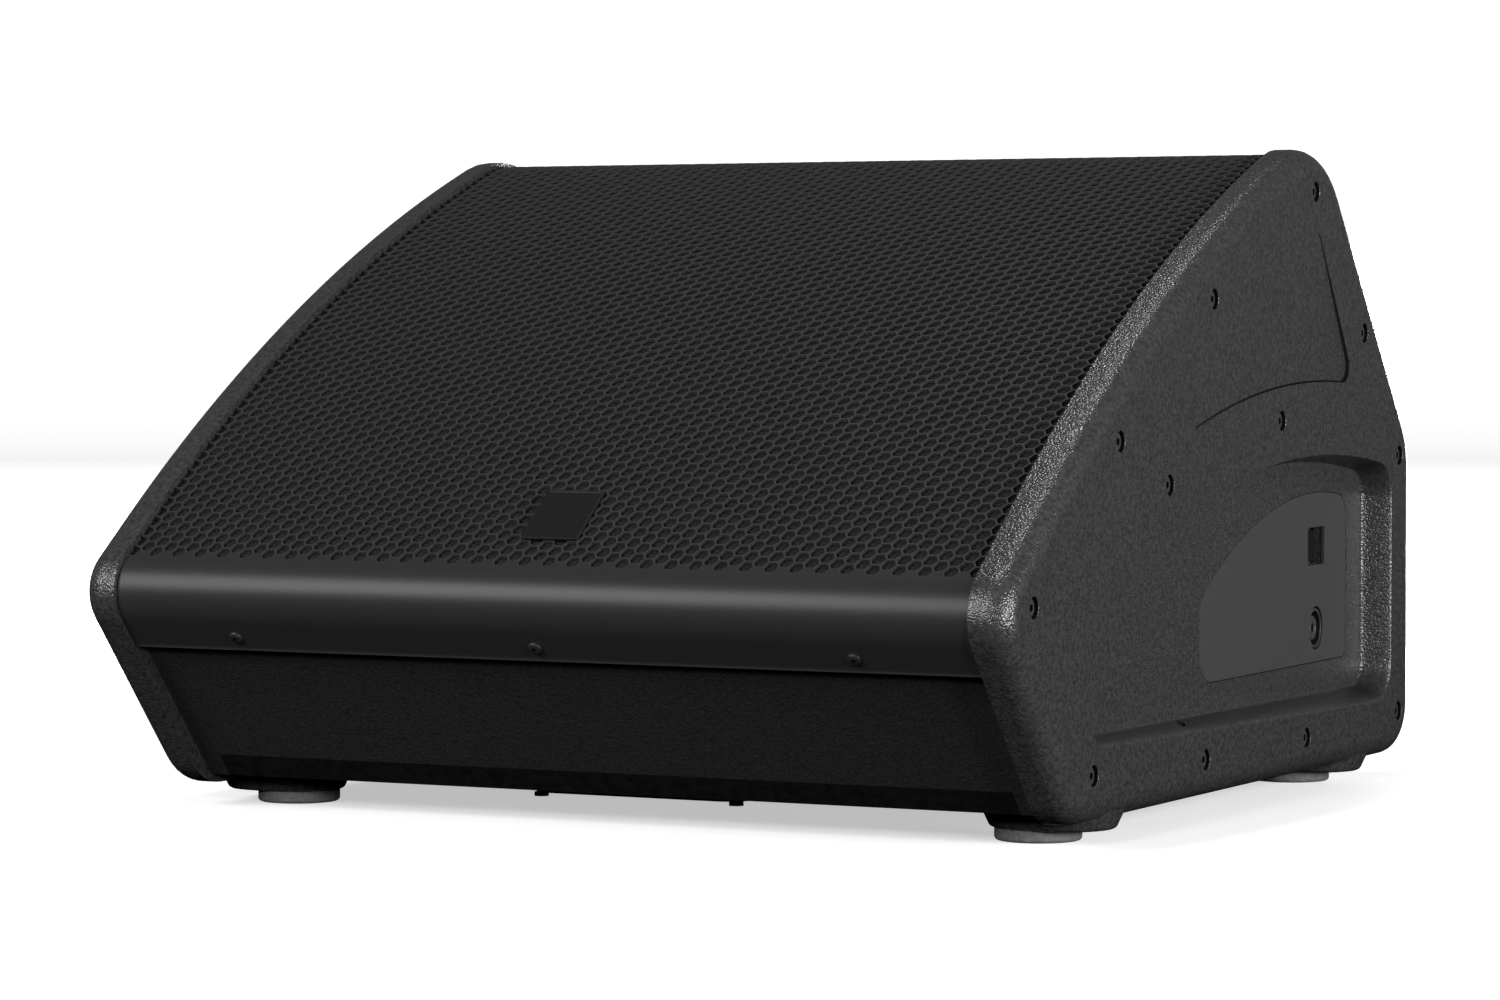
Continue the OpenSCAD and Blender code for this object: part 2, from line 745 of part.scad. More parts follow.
// Space behind the pan floor for the socket and the switch
module connector_pocket(back_x) {
    low = socket_z - socket_flange_r - 1;
    high = switch_z + 18;
    translate([back_x, socket_y - 26, low])
        cube([seat_x - back_x, 52, high - low]);
}
module cheek(side) {
    color([0.2, 0.2, 0.2])
        sided(side)
            difference() {
                union() {
                    difference() {
                        cheek_body();
                        difference() {
                            along_x(cab_x - 1, half_w - cheek_wall)
                                polygon(cheek_outline(cheek_rim));
                            along_x(cab_x - 2, half_w)
                                polygon(rounded(recess, -recess_margin, 12));
                            for (p = cheek_screws)
                                translate([cab_x - 2, p[0], p[1]])
                                    rotate([0, 90, 0])
                                        cylinder(r = boss_r, h = cheek_t);
                        }
                    }
                    lug(foot_front_y);
                    lug(foot_rear_y);
                }
                along_x(cab_x - 1, half_w + 1)
                    polygon(rounded(recess, 0, 12));
                along_x(cab_x - 1, cab_x + pan_lip_t + slip)
                    polygon(rounded(recess, -pan_lip - slip, 12));
                facet_cut();
                translate([half_w - 3, drain_y, sill_z - recess_margin * 2])
                    cylinder(r = drain_d / 2, h = recess_margin * 3);
                for (p = cheek_screws)
                    translate([half_w, p[0], p[1]])
                        rotate([0, 90, 0])
                            cheek_screw_hole();
                for (y = [foot_front_y, foot_rear_y])
                    translate([foot_x, y, foot_h - 1])
                        cylinder(r = screw_shank_r + slip, h = bottom_z);
            }
}
// Tray let into the cheek from behind: its lip lies in a rebate, against the side panel
module cheek_pan(side) {
    color([0.2, 0.2, 0.2])
        sided(side)
            difference() {
                union() {
                    along_x(cab_x, half_w)
                        polygon(rounded(recess, slip, 12));
                    along_x(cab_x, cab_x + pan_lip_t)
                        polygon(rounded(recess, -pan_lip, 12));
                }
                on_pan()
                    translate([0, -pan_len, 0])
                        cube([half_w, pan_len * 3, crown_z]);
                on_pan()
                    translate([-plate_t, 0, 0])
                        along_x(0, half_w)
                            polygon(rounded(plate_outline));
                on_pan()
                    connector_pocket(-60);
                on_pan()
                    connector_holes(side > 0, clear);
            }
}
module cheek_pan_left() { cheek_pan(-1); }
module cheek_pan_right() { cheek_pan(1); }
module cheek_screw_hole() {
    translate([0, 0, -counterbore_h])
        cylinder(r = counterbore_r, h = counterbore_h + 1);
    translate([0, 0, -cheek_t - 1])
        cylinder(r = screw_shank_r + slip, h = cheek_t + 1);
}
module facet_cut() {
    intersection() {
        along_x(cab_x, half_w + 1)
            polygon(concat(
                [facet_low, facet_top],
                [facet_front],
                [for (k = [1 : 8]) arch_point(between(facet_front[0], facet_low[0] - 12, k / 8), facet_r)]
            ));
        translate([half_w, facet_front[0], facet_front[1]])
            rotate([atan2(facet_dir[1], facet_dir[0]), 0, 0])
                rotate([0, asin(facet_depth / facet_fall), 0])
                    translate([0, -crown_z, -crown_z])
                        cube([20, crown_z * 3, crown_z]);
    }
}
module cheek_left() { cheek(-1); }
module cheek_right() { cheek(1); }
module cheek_screw_set(side) {
    color([0.07, 0.07, 0.07])
        sided(side)
            for (p = cheek_screws)
                translate([half_w - counterbore_h, p[0], p[1]])
                    rotate([0, 90, 0])
                        socket_screw(4.75, 2.8, screw_shank_r, cheek_screw_l);
}
module cheek_screws_left() { cheek_screw_set(-1); }
module cheek_screws_right() { cheek_screw_set(1); }

// Folded grille and what holds it
function grille_path(depth) = concat(
    [edge_point(SHOULDER, edge_len(SHOULDER) - grille_back_l, depth)],
    cheek_arc(CROWN, depth),
    cheek_arc(KNEE, depth),
    cheek_arc(NOSE, depth),
    [edge_point(NOSE, grille_toe_l, depth)]
);
module grille_screw_places(front) {
    for (x = [-grille_screw_x, 0, grille_screw_x])
        if (front) on_edge(NOSE, grille_screw_toe, grille_set, x) children();
        else on_edge(SHOULDER, edge_len(SHOULDER) - grille_screw_back, grille_set, x) children();
}
module grille() {
    color([0.16, 0.16, 0.16])
        difference() {
            along_x(-cab_x + grille_gap, cab_x - grille_gap)
                polygon(concat(grille_path(grille_set), backwards(grille_path(grille_set + grille_t))));
            for (front = [true, false])
                grille_screw_places(front)
                    translate([0, 0, -grille_t - 1])
                        cylinder(r = grille_screw_r + slip, h = grille_t + 2);
        }
}
foam_top = grille_set + grille_t;
function foam_path(depth) =
    let (crown = cheek_arc(CROWN, depth), nose = cheek_arc(NOSE, depth))
    concat([crown[len(crown) - 1]], cheek_arc(KNEE, depth), [nose[0]]);
module grille_foam() {
    color([0.06, 0.06, 0.06])
        along_x(-cab_x + grille_gap, cab_x - grille_gap)
            polygon(concat(foam_path(foam_top), backwards(foam_path(panel_set))));
}
module rail(i, from, to) {
    along_x(-board_x, board_x)
        polygon([
            edge_point(i, from, panel_set),
            edge_point(i, from, foam_top),
            edge_point(i, to, foam_top),
            edge_point(i, to, panel_set)
        ]);
}
module grille_rail_front() {
    color([0.08, 0.08, 0.08])
        difference() {
            rail(NOSE, grille_screw_toe - rail_w / 2, grille_screw_toe + rail_w / 2);
            grille_screw_places(true)
                translate([0, 0, -panel_set])
                    cylinder(r = grille_screw_r + slip, h = panel_set);
        }
}
module grille_rail_rear() {
    far = edge_len(SHOULDER) - grille_screw_back;
    color([0.08, 0.08, 0.08])
        difference() {
            rail(SHOULDER, far - rail_w / 2, far + rail_w / 2);
            grille_screw_places(false)
                translate([0, 0, -panel_set])
                    cylinder(r = grille_screw_r + slip, h = panel_set);
        }
}
module grille_screws() {
    color([0.07, 0.07, 0.07])
        for (front = [true, false])
            grille_screw_places(front)
                socket_screw(3.8, 1.8, grille_screw_r, grille_screw_l);
}
module badge_plate() {
    along = edge_len(KNEE) - badge_up;
    color([0.05, 0.05, 0.05])
        on_edge(KNEE, along, grille_set, 0)
            linear_extrude(badge_t)
                polygon(rounded(box_outline(badge_w, badge_h, 2), 0, 4));
}

// Connector plate, sockets and switch
module connector_holes(with_switch, gap) {
    translate([-20, socket_y, socket_z])
        rotate([0, 90, 0])
            cylinder(r = socket_r + gap, h = 40);
    if (with_switch)
        translate([-20, socket_y - switch_w / 2, switch_z - switch_h / 2])
            cube([40, switch_w, switch_h]);
}
module connector_plate(side) {
    color([0.25, 0.25, 0.25])
        sided(side)
            on_pan()
                difference() {
                    along_x(-plate_t, 0)
                        polygon(rounded(plate_outline, plate_gap));
                    connector_holes(side > 0, slip);
                }
}
module connector_plate_left() { connector_plate(-1); }
module connector_plate_right() { connector_plate(1); }
module on_socket(side) {
    sided(side)
        on_pan()
            translate([0, socket_y, socket_z])
                rotate([0, 90, 0])
                    children();
}
module socket_shell(side) {
    color([0.05, 0.05, 0.05])
        on_socket(side)
            difference() {
                union() {
                    translate([0, 0, -socket_l])
                        cylinder(r = socket_r, h = socket_l);
                    translate([0, 0, seat_x - 3])
                        cylinder(r = socket_flange_r, h = 3);
                }
                translate([0, 0, -socket_l + 3])
                    cylinder(r = socket_r - socket_wall, h = socket_l);
                for (a = [0, 180])
                    rotate([0, 0, a])
                        translate([socket_r - socket_wall - 1, -2, -core_set - 3])
                            cube([1.6, 4, core_set + 4]);
            }
}
module socket_shell_left() { socket_shell(-1); }
module socket_shell_right() { socket_shell(1); }
contact_w = 3;
module socket_core(side) {
    color([0.08, 0.08, 0.08])
        on_socket(side)
            difference() {
                translate([0, 0, -socket_l + 3])
                    cylinder(r = core_r, h = socket_l - 3 - core_set);
                translate([0, 0, -core_set - 8])
                    cylinder(r = core_bore_r, h = 9);
                for (a = [45 : 90 : 315])
                    rotate([0, 0, a])
                        translate([core_r - 1, -contact_w / 2 - slip, -socket_l])
                            cube([2, contact_w + slip * 2, socket_l - core_set - 2]);
            }
}
module socket_core_left() { socket_core(-1); }
module socket_core_right() { socket_core(1); }
module socket_contacts(side) {
    color([0.8, 0.7, 0.4])
        on_socket(side)
            for (a = [45 : 90 : 315])
                rotate([0, 0, a])
                    translate([core_r - 1, -contact_w / 2, -socket_l + 3])
                        cube([0.9, contact_w, socket_l - core_set - 6]);
}
module socket_contacts_left() { socket_contacts(-1); }
module socket_contacts_right() { socket_contacts(1); }
// Switch: a housing behind the pan floor, with a carriage that slides in its front cavity
carriage_t = 2.5;
carriage_w = knob_w + 6;
cavity_w = carriage_w + switch_travel + clear * 2;
cavity_h = switch_h;
cavity_d = carriage_t + clear * 2;
switch_back = 22;
switch_lip = 3;
module selector_housing() {
    color([0.06, 0.06, 0.06])
        on_pan()
            translate([seat_x, socket_y, switch_z])
                difference() {
                    translate([-switch_back, -cavity_w / 2 - switch_lip, -cavity_h / 2 - switch_lip])
                        cube([switch_back, cavity_w + switch_lip * 2, cavity_h + switch_lip * 2]);
                    translate([-cavity_d, -cavity_w / 2, -cavity_h / 2])
                        cube([cavity_d + 1, cavity_w, cavity_h]);
                }
}
module selector_slider() {
    rest_y = -cavity_w / 2 + clear;
    face = -seat_x - knob_set;
    knob_y = rest_y + (carriage_w - knob_w) / 2;
    knob_h = switch_h - 4;
    ribs = 5;
    color([0.09, 0.09, 0.09])
        on_pan()
            translate([seat_x, socket_y, switch_z]) {
                translate([-cavity_d + clear, rest_y, -cavity_h / 2 + clear])
                    cube([carriage_t, carriage_w, cavity_h - clear * 2]);
                difference() {
                    translate([-clear - 0.01, knob_y, -knob_h / 2])
                        cube([face + clear, knob_w, knob_h]);
                    for (k = [1 : ribs])
                        translate([face - 1, knob_y + knob_w * k / (ribs + 1) - 0.8, -knob_h])
                            cube([2, 1.6, knob_h * 2]);
                }
            }
}
module selector_terminals() {
    color([0.75, 0.73, 0.68])
        on_pan()
            for (row = [-6, 6])
                for (col = [-10, 0, 10])
                    translate([seat_x - switch_back - 7, socket_y + col - 2, switch_z + row - 0.5])
                        cube([7, 4, 1]);
}

// Rubber feet
module foot(i) {
    edge = 2;
    p = foot_places[i];
    color([0.05, 0.05, 0.05])
        translate([p[0], p[1], 0])
            rotate_extrude()
                polygon(concat(
                    [[screw_shank_r + slip, foot_h], [screw_shank_r + slip, 2.3], [6, 2.3], [6, 0]],
                    [for (k = [0 : 6]) [foot_r - edge + edge * sin(15 * k), edge - edge * cos(15 * k)]],
                    [[foot_r, foot_h]]
                ));
}
module foot_front_left() { foot(0); }
module foot_front_right() { foot(1); }
module foot_rear_left() { foot(2); }
module foot_rear_right() { foot(3); }
module foot_screws() {
    length = floor_z - 5;
    color([0.6, 0.6, 0.6])
        for (p = foot_places)
            translate([p[0], p[1], 2.3])
                mirror([0, 0, 1])
                    socket_screw(5, 1.6, screw_shank_r, length);
}

// Recessed carry handle
module handle_screw_places(z) {
    for (x = [-1, 1])
        for (y = [-1, 1])
            translate([x * (handle_w / 2 - cup_rim / 2), handle_y + y * (handle_l / 2 - cup_rim / 2), z])
                children();
}
module handle_cup() {
    color([0.08, 0.08, 0.08])
        difference() {
            translate([0, handle_y, handle_face_z]) {
                linear_extrude(handle_t)
                    polygon(rounded(box_outline(handle_w, handle_l, 14)));
                linear_extrude(cup_h + cup_wall)
                    polygon(rounded(box_outline(cup_w, cup_l, 12)));
            }
            translate([0, handle_y, handle_face_z - 1])
                linear_extrude(cup_h + 1)
                    polygon(rounded(box_outline(cup_w - cup_wall * 2, cup_l - cup_wall * 2, 9)));
            handle_screw_places(handle_face_z - 1)
                cylinder(r = handle_screw_r + slip, h = handle_t + 2);
        }
}
module handle_bar() {
    span = cup_w - cup_wall * 2;
    color([0.05, 0.05, 0.05])
        translate([-span / 2, handle_y, handle_face_z + bar_up])
            rotate([0, 90, 0])
                cylinder(r = bar_r, h = span);
}
module handle_screws() {
    color([0.07, 0.07, 0.07])
        handle_screw_places(handle_face_z)
            mirror([0, 0, 1])
                socket_screw(3.8, 2.2, handle_screw_r, handle_t + panel_t - 1);
}

// Coaxial loudspeaker
module bolt_places() {
    for (k = [0 : bolts - 1])
        rotate([0, 0, (k + 0.5) * 360 / bolts])
            translate([bolt_circle, 0, 0])
                children();
}
module driver_basket() {
    wall = 5;
    shelf_r = spider_r - 13;
    window_half = 19;
    windows = 6;
    color([0.22, 0.22, 0.23])
        on_baffle()
            difference() {
                rotate_extrude($fn = 128)
                    polygon([
                        [flange_r, flange_t], [flange_r, 0], [mouth_r, 0], [mouth_r, -16],
                        [spider_r + 11, spider_z - 4], [spider_r, -basket_h], [gap_r + 2, -basket_h],
                        [gap_r + 2, -basket_h + wall], [shelf_r, -basket_h + wall], [shelf_r, spider_z],
                        [spider_r + 3, spider_z], [mouth_r - wall, -13], [mouth_r - wall, ledge_z - 4],
                        [ledge_r, ledge_z - 4], [ledge_r, ledge_z], [recess_edge_r, ledge_z],
                        [recess_edge_r, flange_t]
                    ]);
                for (k = [0 : windows - 1])
                    rotate([0, 0, k * 360 / windows])
                        translate([0, 0, spider_z + 4])
                            linear_extrude(-spider_z - 26)
                                polygon([[20, 0], 240 * [cos(window_half), -sin(window_half)],
                                    240 * [cos(window_half), sin(window_half)]]);
                bolt_places()
                    translate([0, 0, -1])
                        cylinder(r = bolt_r + slip, h = flange_t + 2);
            }
    color([0.22, 0.22, 0.23])
        on_baffle()
            translate([-terminal_w / 2, terminal_r - 24, terminal_z - terminal_w / 2])
                cube([terminal_w, 24, terminal_w]);
}
module driver_gasket() {
    color([0.07, 0.07, 0.07])
        on_baffle()
            translate([0, 0, ledge_z + rim_t])
                tube(recess_edge_r - clear, ledge_r + 4, 5);
}
module surround() {
    mid = (roll_in + roll_out) / 2;
    roll_r = roll_w / 2;
    function arc(r) =
        [for (k = [0 : 12]) [mid - r * cos(15 * k), ledge_z + r * sin(15 * k)]];
    color([0.06, 0.06, 0.06])
        on_baffle()
            rotate_extrude($fn = 128)
                polygon(concat(
                    [[cone_r + clear, ledge_z], [cone_r + clear, ledge_z + rim_t]],
                    arc(roll_r + rim_t),
                    [[recess_edge_r - clear, ledge_z + rim_t], [recess_edge_r - clear, ledge_z]],
                    backwards(arc(roll_r))
                ));
}
module cone() {
    color([0.12, 0.12, 0.12])
        on_baffle()
            rotate_extrude($fn = 128)
                polygon([
                    [former_r, cone_low_z], [cone_r - 4, ledge_z - cone_t], [cone_r, ledge_z - cone_t],
                    [cone_r, ledge_z + cone_t], [cone_r - 5, ledge_z + cone_t],
                    [former_r, cone_low_z + cone_t * 2.6]
                ]);
}
winding_h = steel_t + excursion + 2;
coil_low_z = plate_low_z - excursion - 3;
module coil_former() {
    color([0.75, 0.65, 0.4])
        on_baffle()
            translate([0, 0, coil_low_z])
                tube(former_r, former_r - former_t, cone_low_z + 5 - coil_low_z);
}
module coil_winding() {
    color([0.72, 0.45, 0.25])
        on_baffle()
            translate([0, 0, coil_low_z + 1])
                tube(former_r + winding_t, former_r, winding_h);
}
module spider() {
    waves = 4;
    steps = 32;
    inner = former_r + clear;
    outer = spider_r + 2;
    lift = 3;
    land = 8;
    cloth = 0.9;
    function ripple(k) = lift * (1 - cos(k * 360 * waves / steps));
    function wave(z) =
        [for (k = [0 : steps]) [inner + (outer - land - inner) * k / steps, z + ripple(k)]];
    color([0.7, 0.6, 0.35])
        on_baffle()
            rotate_extrude($fn = 96)
                polygon(concat(
                    wave(spider_z),
                    [[outer, spider_z], [outer, spider_z + cloth]],
                    backwards(wave(spider_z + cloth))
                ));
}
module top_plate() {
    color([0.5, 0.5, 0.52])
        on_baffle()
            translate([0, 0, plate_low_z])
                tube(magnet_r, gap_r, steel_t);
}
module magnet_ring() {
    color([0.2, 0.2, 0.21])
        on_baffle()
            translate([0, 0, magnet_low_z])
                tube(magnet_r, gap_r + 4, magnet_h);
}
module pole_yoke() {
    color([0.5, 0.5, 0.52])
        on_baffle()
            difference() {
                union() {
                    translate([0, 0, yoke_low_z])
                        cylinder(r = magnet_r, h = steel_t);
                    translate([0, 0, yoke_low_z])
                        cylinder(r = pole_r, h = -basket_h - yoke_low_z);
                }
                translate([0, 0, yoke_low_z - 1])
                    cylinder(r = throat_r, h = -yoke_low_z);
            }
}
module hf_horn() {
    wall = 2.5;
    base_h = 6;
    start = -basket_h + base_h;
    run = cone_h - 2;
    steps = 16;
    function flare(k) = throat_r * pow(horn_r / throat_r, k / steps);
    color([0.06, 0.06, 0.06])
        on_baffle()
            rotate_extrude()
                polygon(concat(
                    [[throat_r, -basket_h], [pole_r - 3, -basket_h]],
                    [[pole_r - 3, start], [throat_r + wall, start]],
                    [for (k = [1 : steps]) [flare(k) + wall, start + run * k / steps]],
                    [for (k = [steps : -1 : 0]) [flare(k), start + run * k / steps]]
                ));
}
dome_r = 30;
coil_slot = 1.3;
module hf_motor() {
    color([0.3, 0.3, 0.31])
        on_baffle()
            difference() {
                translate([0, 0, hf_low_z])
                    cylinder(r = hf_r, h = hf_h);
                translate([0, 0, hf_low_z - 1])
                    cylinder(r = throat_r, h = hf_h + 2);
                translate([0, 0, hf_low_z - 1])
                    tube(dome_r + coil_slot, dome_r - 0.8 - coil_slot, 11);
            }
}
module hf_diaphragm() {
    rise = 12;
    skin = 0.8;
    rim = hf_low_z - hf_excursion - clear;
    sphere_r = (dome_r * dome_r + rise * rise) / (2 * rise);
    reach = asin(dome_r / sphere_r);
    function cap(r) =
        [for (k = [0 : 10]) [r * sin(reach * k / 10), rim - rise + sphere_r - r * cos(reach * k / 10)]];
    color([0.7, 0.7, 0.72])
        on_baffle() {
            rotate_extrude()
                polygon(concat(
                    cap(sphere_r),
                    [[dome_r, rim + 5], [dome_r - skin, rim + 5]],
                    backwards(cap(sphere_r - skin))
                ));
            translate([0, 0, rim - skin])
                tube(dome_r + 7, dome_r, skin);
        }
}
hf_cover_h = 20;
module hf_cover() {
    wall = 3;
    color([0.06, 0.06, 0.06])
        on_baffle()
            translate([0, 0, hf_low_z - hf_cover_h])
                difference() {
                    cylinder(r = hf_r, h = hf_cover_h);
                    translate([0, 0, wall])
                        cylinder(r = hf_r - wall, h = hf_cover_h);
                }
}
module driver_bolts() {
    color([0.07, 0.07, 0.07])
        on_baffle()
            bolt_places()
                translate([0, 0, flange_t])
                    socket_screw(5, 5, bolt_r, flange_t + baffle_t + 2);
}

// Crossover
module crossover_places() {
    for (x = [-1, 1])
        for (y = [-1, 1])
            translate([x * (board_w / 2 - 8), board_mid_y + y * (board_l / 2 - 8), 0])
                children();
}
module crossover_board() {
    color([0.1, 0.3, 0.15])
        difference() {
            translate([-board_w / 2, board_mid_y - board_l / 2, board_z])
                cube([board_w, board_l, board_t]);
            crossover_places()
                translate([0, 0, board_z - 1])
                    cylinder(r = board_screw_r + slip, h = board_t + 2);
        }
}
module crossover_standoffs() {
    color([0.8, 0.8, 0.78])
        crossover_places() {
            difference() {
                translate([0, 0, floor_z])
                    cylinder(r = 4, h = standoff_h);
                translate([0, 0, floor_z - 1])
                    cylinder(r = board_screw_r + slip, h = standoff_h + 2);
            }
            translate([0, 0, part_z])
                socket_screw(2.8, 1.8, board_screw_r, standoff_h + board_t + 5);
        }
}
module crossover_coils() {
    color([0.7, 0.42, 0.22]) {
        translate([-board_w / 4, board_mid_y, part_z])
            tube(big_coil_r, big_coil_bore, big_coil_h);
        translate([board_w / 8, board_mid_y + board_l / 5, part_z])
            tube(small_coil_r, small_coil_bore, small_coil_h);
    }
}
module crossover_capacitors() {
    color([0.75, 0.6, 0.2])
        for (k = [0 : len(capacitor_r) - 1])
            translate([board_w / 4 + 2, capacitor_y + k * capacitor_pitch, part_z + capacitor_r[k]])
                rotate([0, 90, 0])
                    cylinder(r = capacitor_r[k], h = capacitor_l);
}
module crossover_resistors() {
    color([0.85, 0.85, 0.82])
        for (k = [0, 1])
            translate([resistor_x, resistor_y + k * resistor_pitch, part_z])
                cube([resistor_l, resistor_w, resistor_w]);
}

// Internal leads: a round section swept along a route, square to the side direction
module lead(route, side_dir) {
    sides = 8;
    n = len(route);
    function heading(i) =
        unit(unit(route[min(i + 1, n - 1)] - route[min(i, n - 2)])
            + unit(route[max(i, 1)] - route[max(i - 1, 0)]));
    function ring(i) =
        let (u = unit(cross(heading(i), side_dir)), v = cross(heading(i), u))
        [for (k = [0 : sides - 1]) route[i] + lead_r * (u * cos(k * 360 / sides) + v * sin(k * 360 / sides))];
    points = [for (i = [0 : n - 1]) each ring(i)];
    walls = [for (i = [0 : n - 2]) for (k = [0 : sides - 1])
        [i * sides + k, i * sides + (k + 1) % sides, (i + 1) * sides + (k + 1) % sides, (i + 1) * sides + k]];
    ends = [[for (k = [sides - 1 : -1 : 0]) k], [for (k = [0 : sides - 1]) (n - 1) * sides + k]];
    polyhedron(points, [for (f = concat(walls, ends)) backwards(f)]);
}
module internal_leads() {
    socket_back = pan_place([-socket_l, socket_y, socket_z]);
    socket_out = pan_place([-socket_l - 25, socket_y, socket_z]);
    low_back = baffle_place([0, terminal_r, terminal_z]);
    low_out = baffle_place([0, terminal_r + 16, terminal_z]);
    high_back = baffle_place([0, 0, hf_low_z - hf_cover_h]);
    high_out = baffle_place([0, 0, hf_low_z - hf_cover_h - 12]);
    socket_end = concat(socket_lead_end, part_z);
    low_end = concat(low_lead_end, part_z);
    high_end = concat(high_lead_end, part_z);
    color([0.1, 0.1, 0.1]) {
        for (side = [-1, 1])
            sided(side)
                lead(concat([socket_back, socket_out], socket_lead_way, [socket_end]), [0, 1, 0]);
        lead(concat([low_back, low_out], low_lead_way, [low_end]), [1, 0, 0]);
        lead(concat([high_back, high_out], high_lead_way, [high_end]), [1, 0, 0]);
    }
}

bottom_panel();
front_panel();
baffle();
rear_slope_panel();
rear_panel();
side_panel_left();
side_panel_right();
damping_wadding();
cheek_left();
cheek_right();
cheek_pan_left();
cheek_pan_right();
cheek_screws_left();
cheek_screws_right();
grille();
grille_foam();
grille_rail_front();
grille_rail_rear();
grille_screws();
badge_plate();
connector_plate_left();
connector_plate_right();
socket_shell_left();
socket_shell_right();
socket_core_left();
socket_core_right();
socket_contacts_left();
socket_contacts_right();
selector_housing();
selector_slider();
selector_terminals();
foot_front_left();
foot_front_right();
foot_rear_left();
foot_rear_right();
foot_screws();
handle_cup();
handle_bar();
handle_screws();
driver_basket();
driver_gasket();
surround();
cone();
coil_former();
coil_winding();
spider();
top_plate();
magnet_ring();
pole_yoke();
hf_horn();
hf_motor();
hf_diaphragm();
hf_cover();
driver_bolts();
crossover_board();
crossover_standoffs();
crossover_coils();
crossover_capacitors();
crossover_resistors();
internal_leads();
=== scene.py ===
import math

import bmesh
import bpy
from bmesh.types import BMEdge, BMFace, BMVert
from mathutils import Matrix, Vector, noise


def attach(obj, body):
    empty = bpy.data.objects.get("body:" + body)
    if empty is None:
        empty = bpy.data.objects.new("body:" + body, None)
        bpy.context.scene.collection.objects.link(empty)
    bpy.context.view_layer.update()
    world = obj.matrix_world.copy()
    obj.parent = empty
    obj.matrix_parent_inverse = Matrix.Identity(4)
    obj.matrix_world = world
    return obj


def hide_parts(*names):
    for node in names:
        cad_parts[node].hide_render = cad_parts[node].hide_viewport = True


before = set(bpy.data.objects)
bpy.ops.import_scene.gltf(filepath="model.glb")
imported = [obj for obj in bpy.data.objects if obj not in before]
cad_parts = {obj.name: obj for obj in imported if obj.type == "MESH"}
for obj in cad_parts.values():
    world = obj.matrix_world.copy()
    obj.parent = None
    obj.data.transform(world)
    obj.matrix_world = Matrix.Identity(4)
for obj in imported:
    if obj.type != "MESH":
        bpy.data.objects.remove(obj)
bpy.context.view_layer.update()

scene = bpy.context.scene

# Cabinet boards: 12 mm plywood, glued and screwed edge to edge, sprayed with a matt black paint that dries
# with a fine pebbled skin. The baffle and the inner faces carry the same paint.


def surface(name, colour, roughness, specular=0.5, metallic=0.0, grain=400.0, depth=0.0001,
            fleck=0.25, detail=2.0):
    """A procedural finish: noise of a grain (cycles per metre) lifts the skin and flecks the colour."""
    material = bpy.data.materials.new(name)
    material.use_nodes = True
    nodes, links = material.node_tree.nodes, material.node_tree.links
    shader = nodes["Principled BSDF"]
    shader.inputs["Roughness"].default_value = roughness
    shader.inputs["Specular IOR Level"].default_value = specular
    shader.inputs["Metallic"].default_value = metallic
    place = nodes.new("ShaderNodeTexCoord")
    cloud = nodes.new("ShaderNodeTexNoise")
    cloud.inputs["Scale"].default_value = grain
    cloud.inputs["Detail"].default_value = detail
    shade = nodes.new("ShaderNodeValToRGB")
    shade.color_ramp.elements[0].position = 0.3
    shade.color_ramp.elements[1].position = 0.7
    shade.color_ramp.elements[0].color = (*(c * (1 - fleck) for c in colour), 1)
    shade.color_ramp.elements[1].color = (*(c * (1 + fleck) for c in colour), 1)
    bump = nodes.new("ShaderNodeBump")
    bump.inputs["Distance"].default_value = depth
    links.new(place.outputs["Object"], cloud.inputs["Vector"])
    links.new(cloud.outputs["Fac"], shade.inputs["Fac"])
    links.new(cloud.outputs["Fac"], bump.inputs["Height"])
    links.new(shade.outputs["Color"], shader.inputs["Base Color"])
    links.new(bump.outputs["Normal"], shader.inputs["Normal"])
    return material


def dress(material, *names):
    """CAD nodes that keep their own shape take this finish."""
    for name in names:
        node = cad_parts[name]
        node.data.materials.clear()
        node.data.materials.append(material)


board_paint = surface("board_paint", (0.0172, 0.0172, 0.01746), 0.55, 0.2, grain=620, depth=0.0004,
                      fleck=0.35)
dress(board_paint, "front_panel", "rear_slope_panel", "rear_panel", "side_panel_left", "side_panel_right")
dress(board_paint, "baffle", "grille_rail_front", "grille_rail_rear")
edge_paint = surface("edge_paint", (0.004, 0.004, 0.00406), 0.7, 0.1, grain=180, depth=0.0004, fleck=0.5)
dress(edge_paint, "bottom_panel")
wadding = surface("wadding", (0.55, 0.53, 0.48), 0.95, 0.1, grain=260, depth=0.003, detail=6)
dress(wadding, "damping_wadding")

# Coaxial loudspeaker: a cast basket bolted to the baffle, with a paper cone and a rubber surround on it, a
# ferrite motor behind, and a horn with its own small motor on the axis.
cast_alloy = surface("cast_alloy", (0.32, 0.33, 0.34), 0.45, metallic=0.9, grain=700, depth=0.0001)
dress(cast_alloy, "driver_basket", "hf_motor")
rubber_ring = surface("rubber_ring", (0.012, 0.012, 0.012), 0.6, 0.4, grain=300, depth=0.0001)
dress(rubber_ring, "driver_gasket", "surround")
paper = surface("paper", (0.02, 0.02, 0.021), 0.85, 0.2, grain=900, depth=0.0003, detail=5)
dress(paper, "cone")
cloth = surface("cloth", (0.35, 0.23, 0.09), 0.8, 0.2, grain=1400, depth=0.0002)
dress(cloth, "coil_former", "spider")
copper = surface("copper", (0.7, 0.28, 0.12), 0.3, metallic=1.0, grain=900, depth=0.0001, fleck=0.15)
dress(copper, "coil_winding", "crossover_coils")
zinc_steel = surface("zinc_steel", (0.45, 0.46, 0.47), 0.35, metallic=1.0, grain=500, depth=0.00005,
                     fleck=0.1)
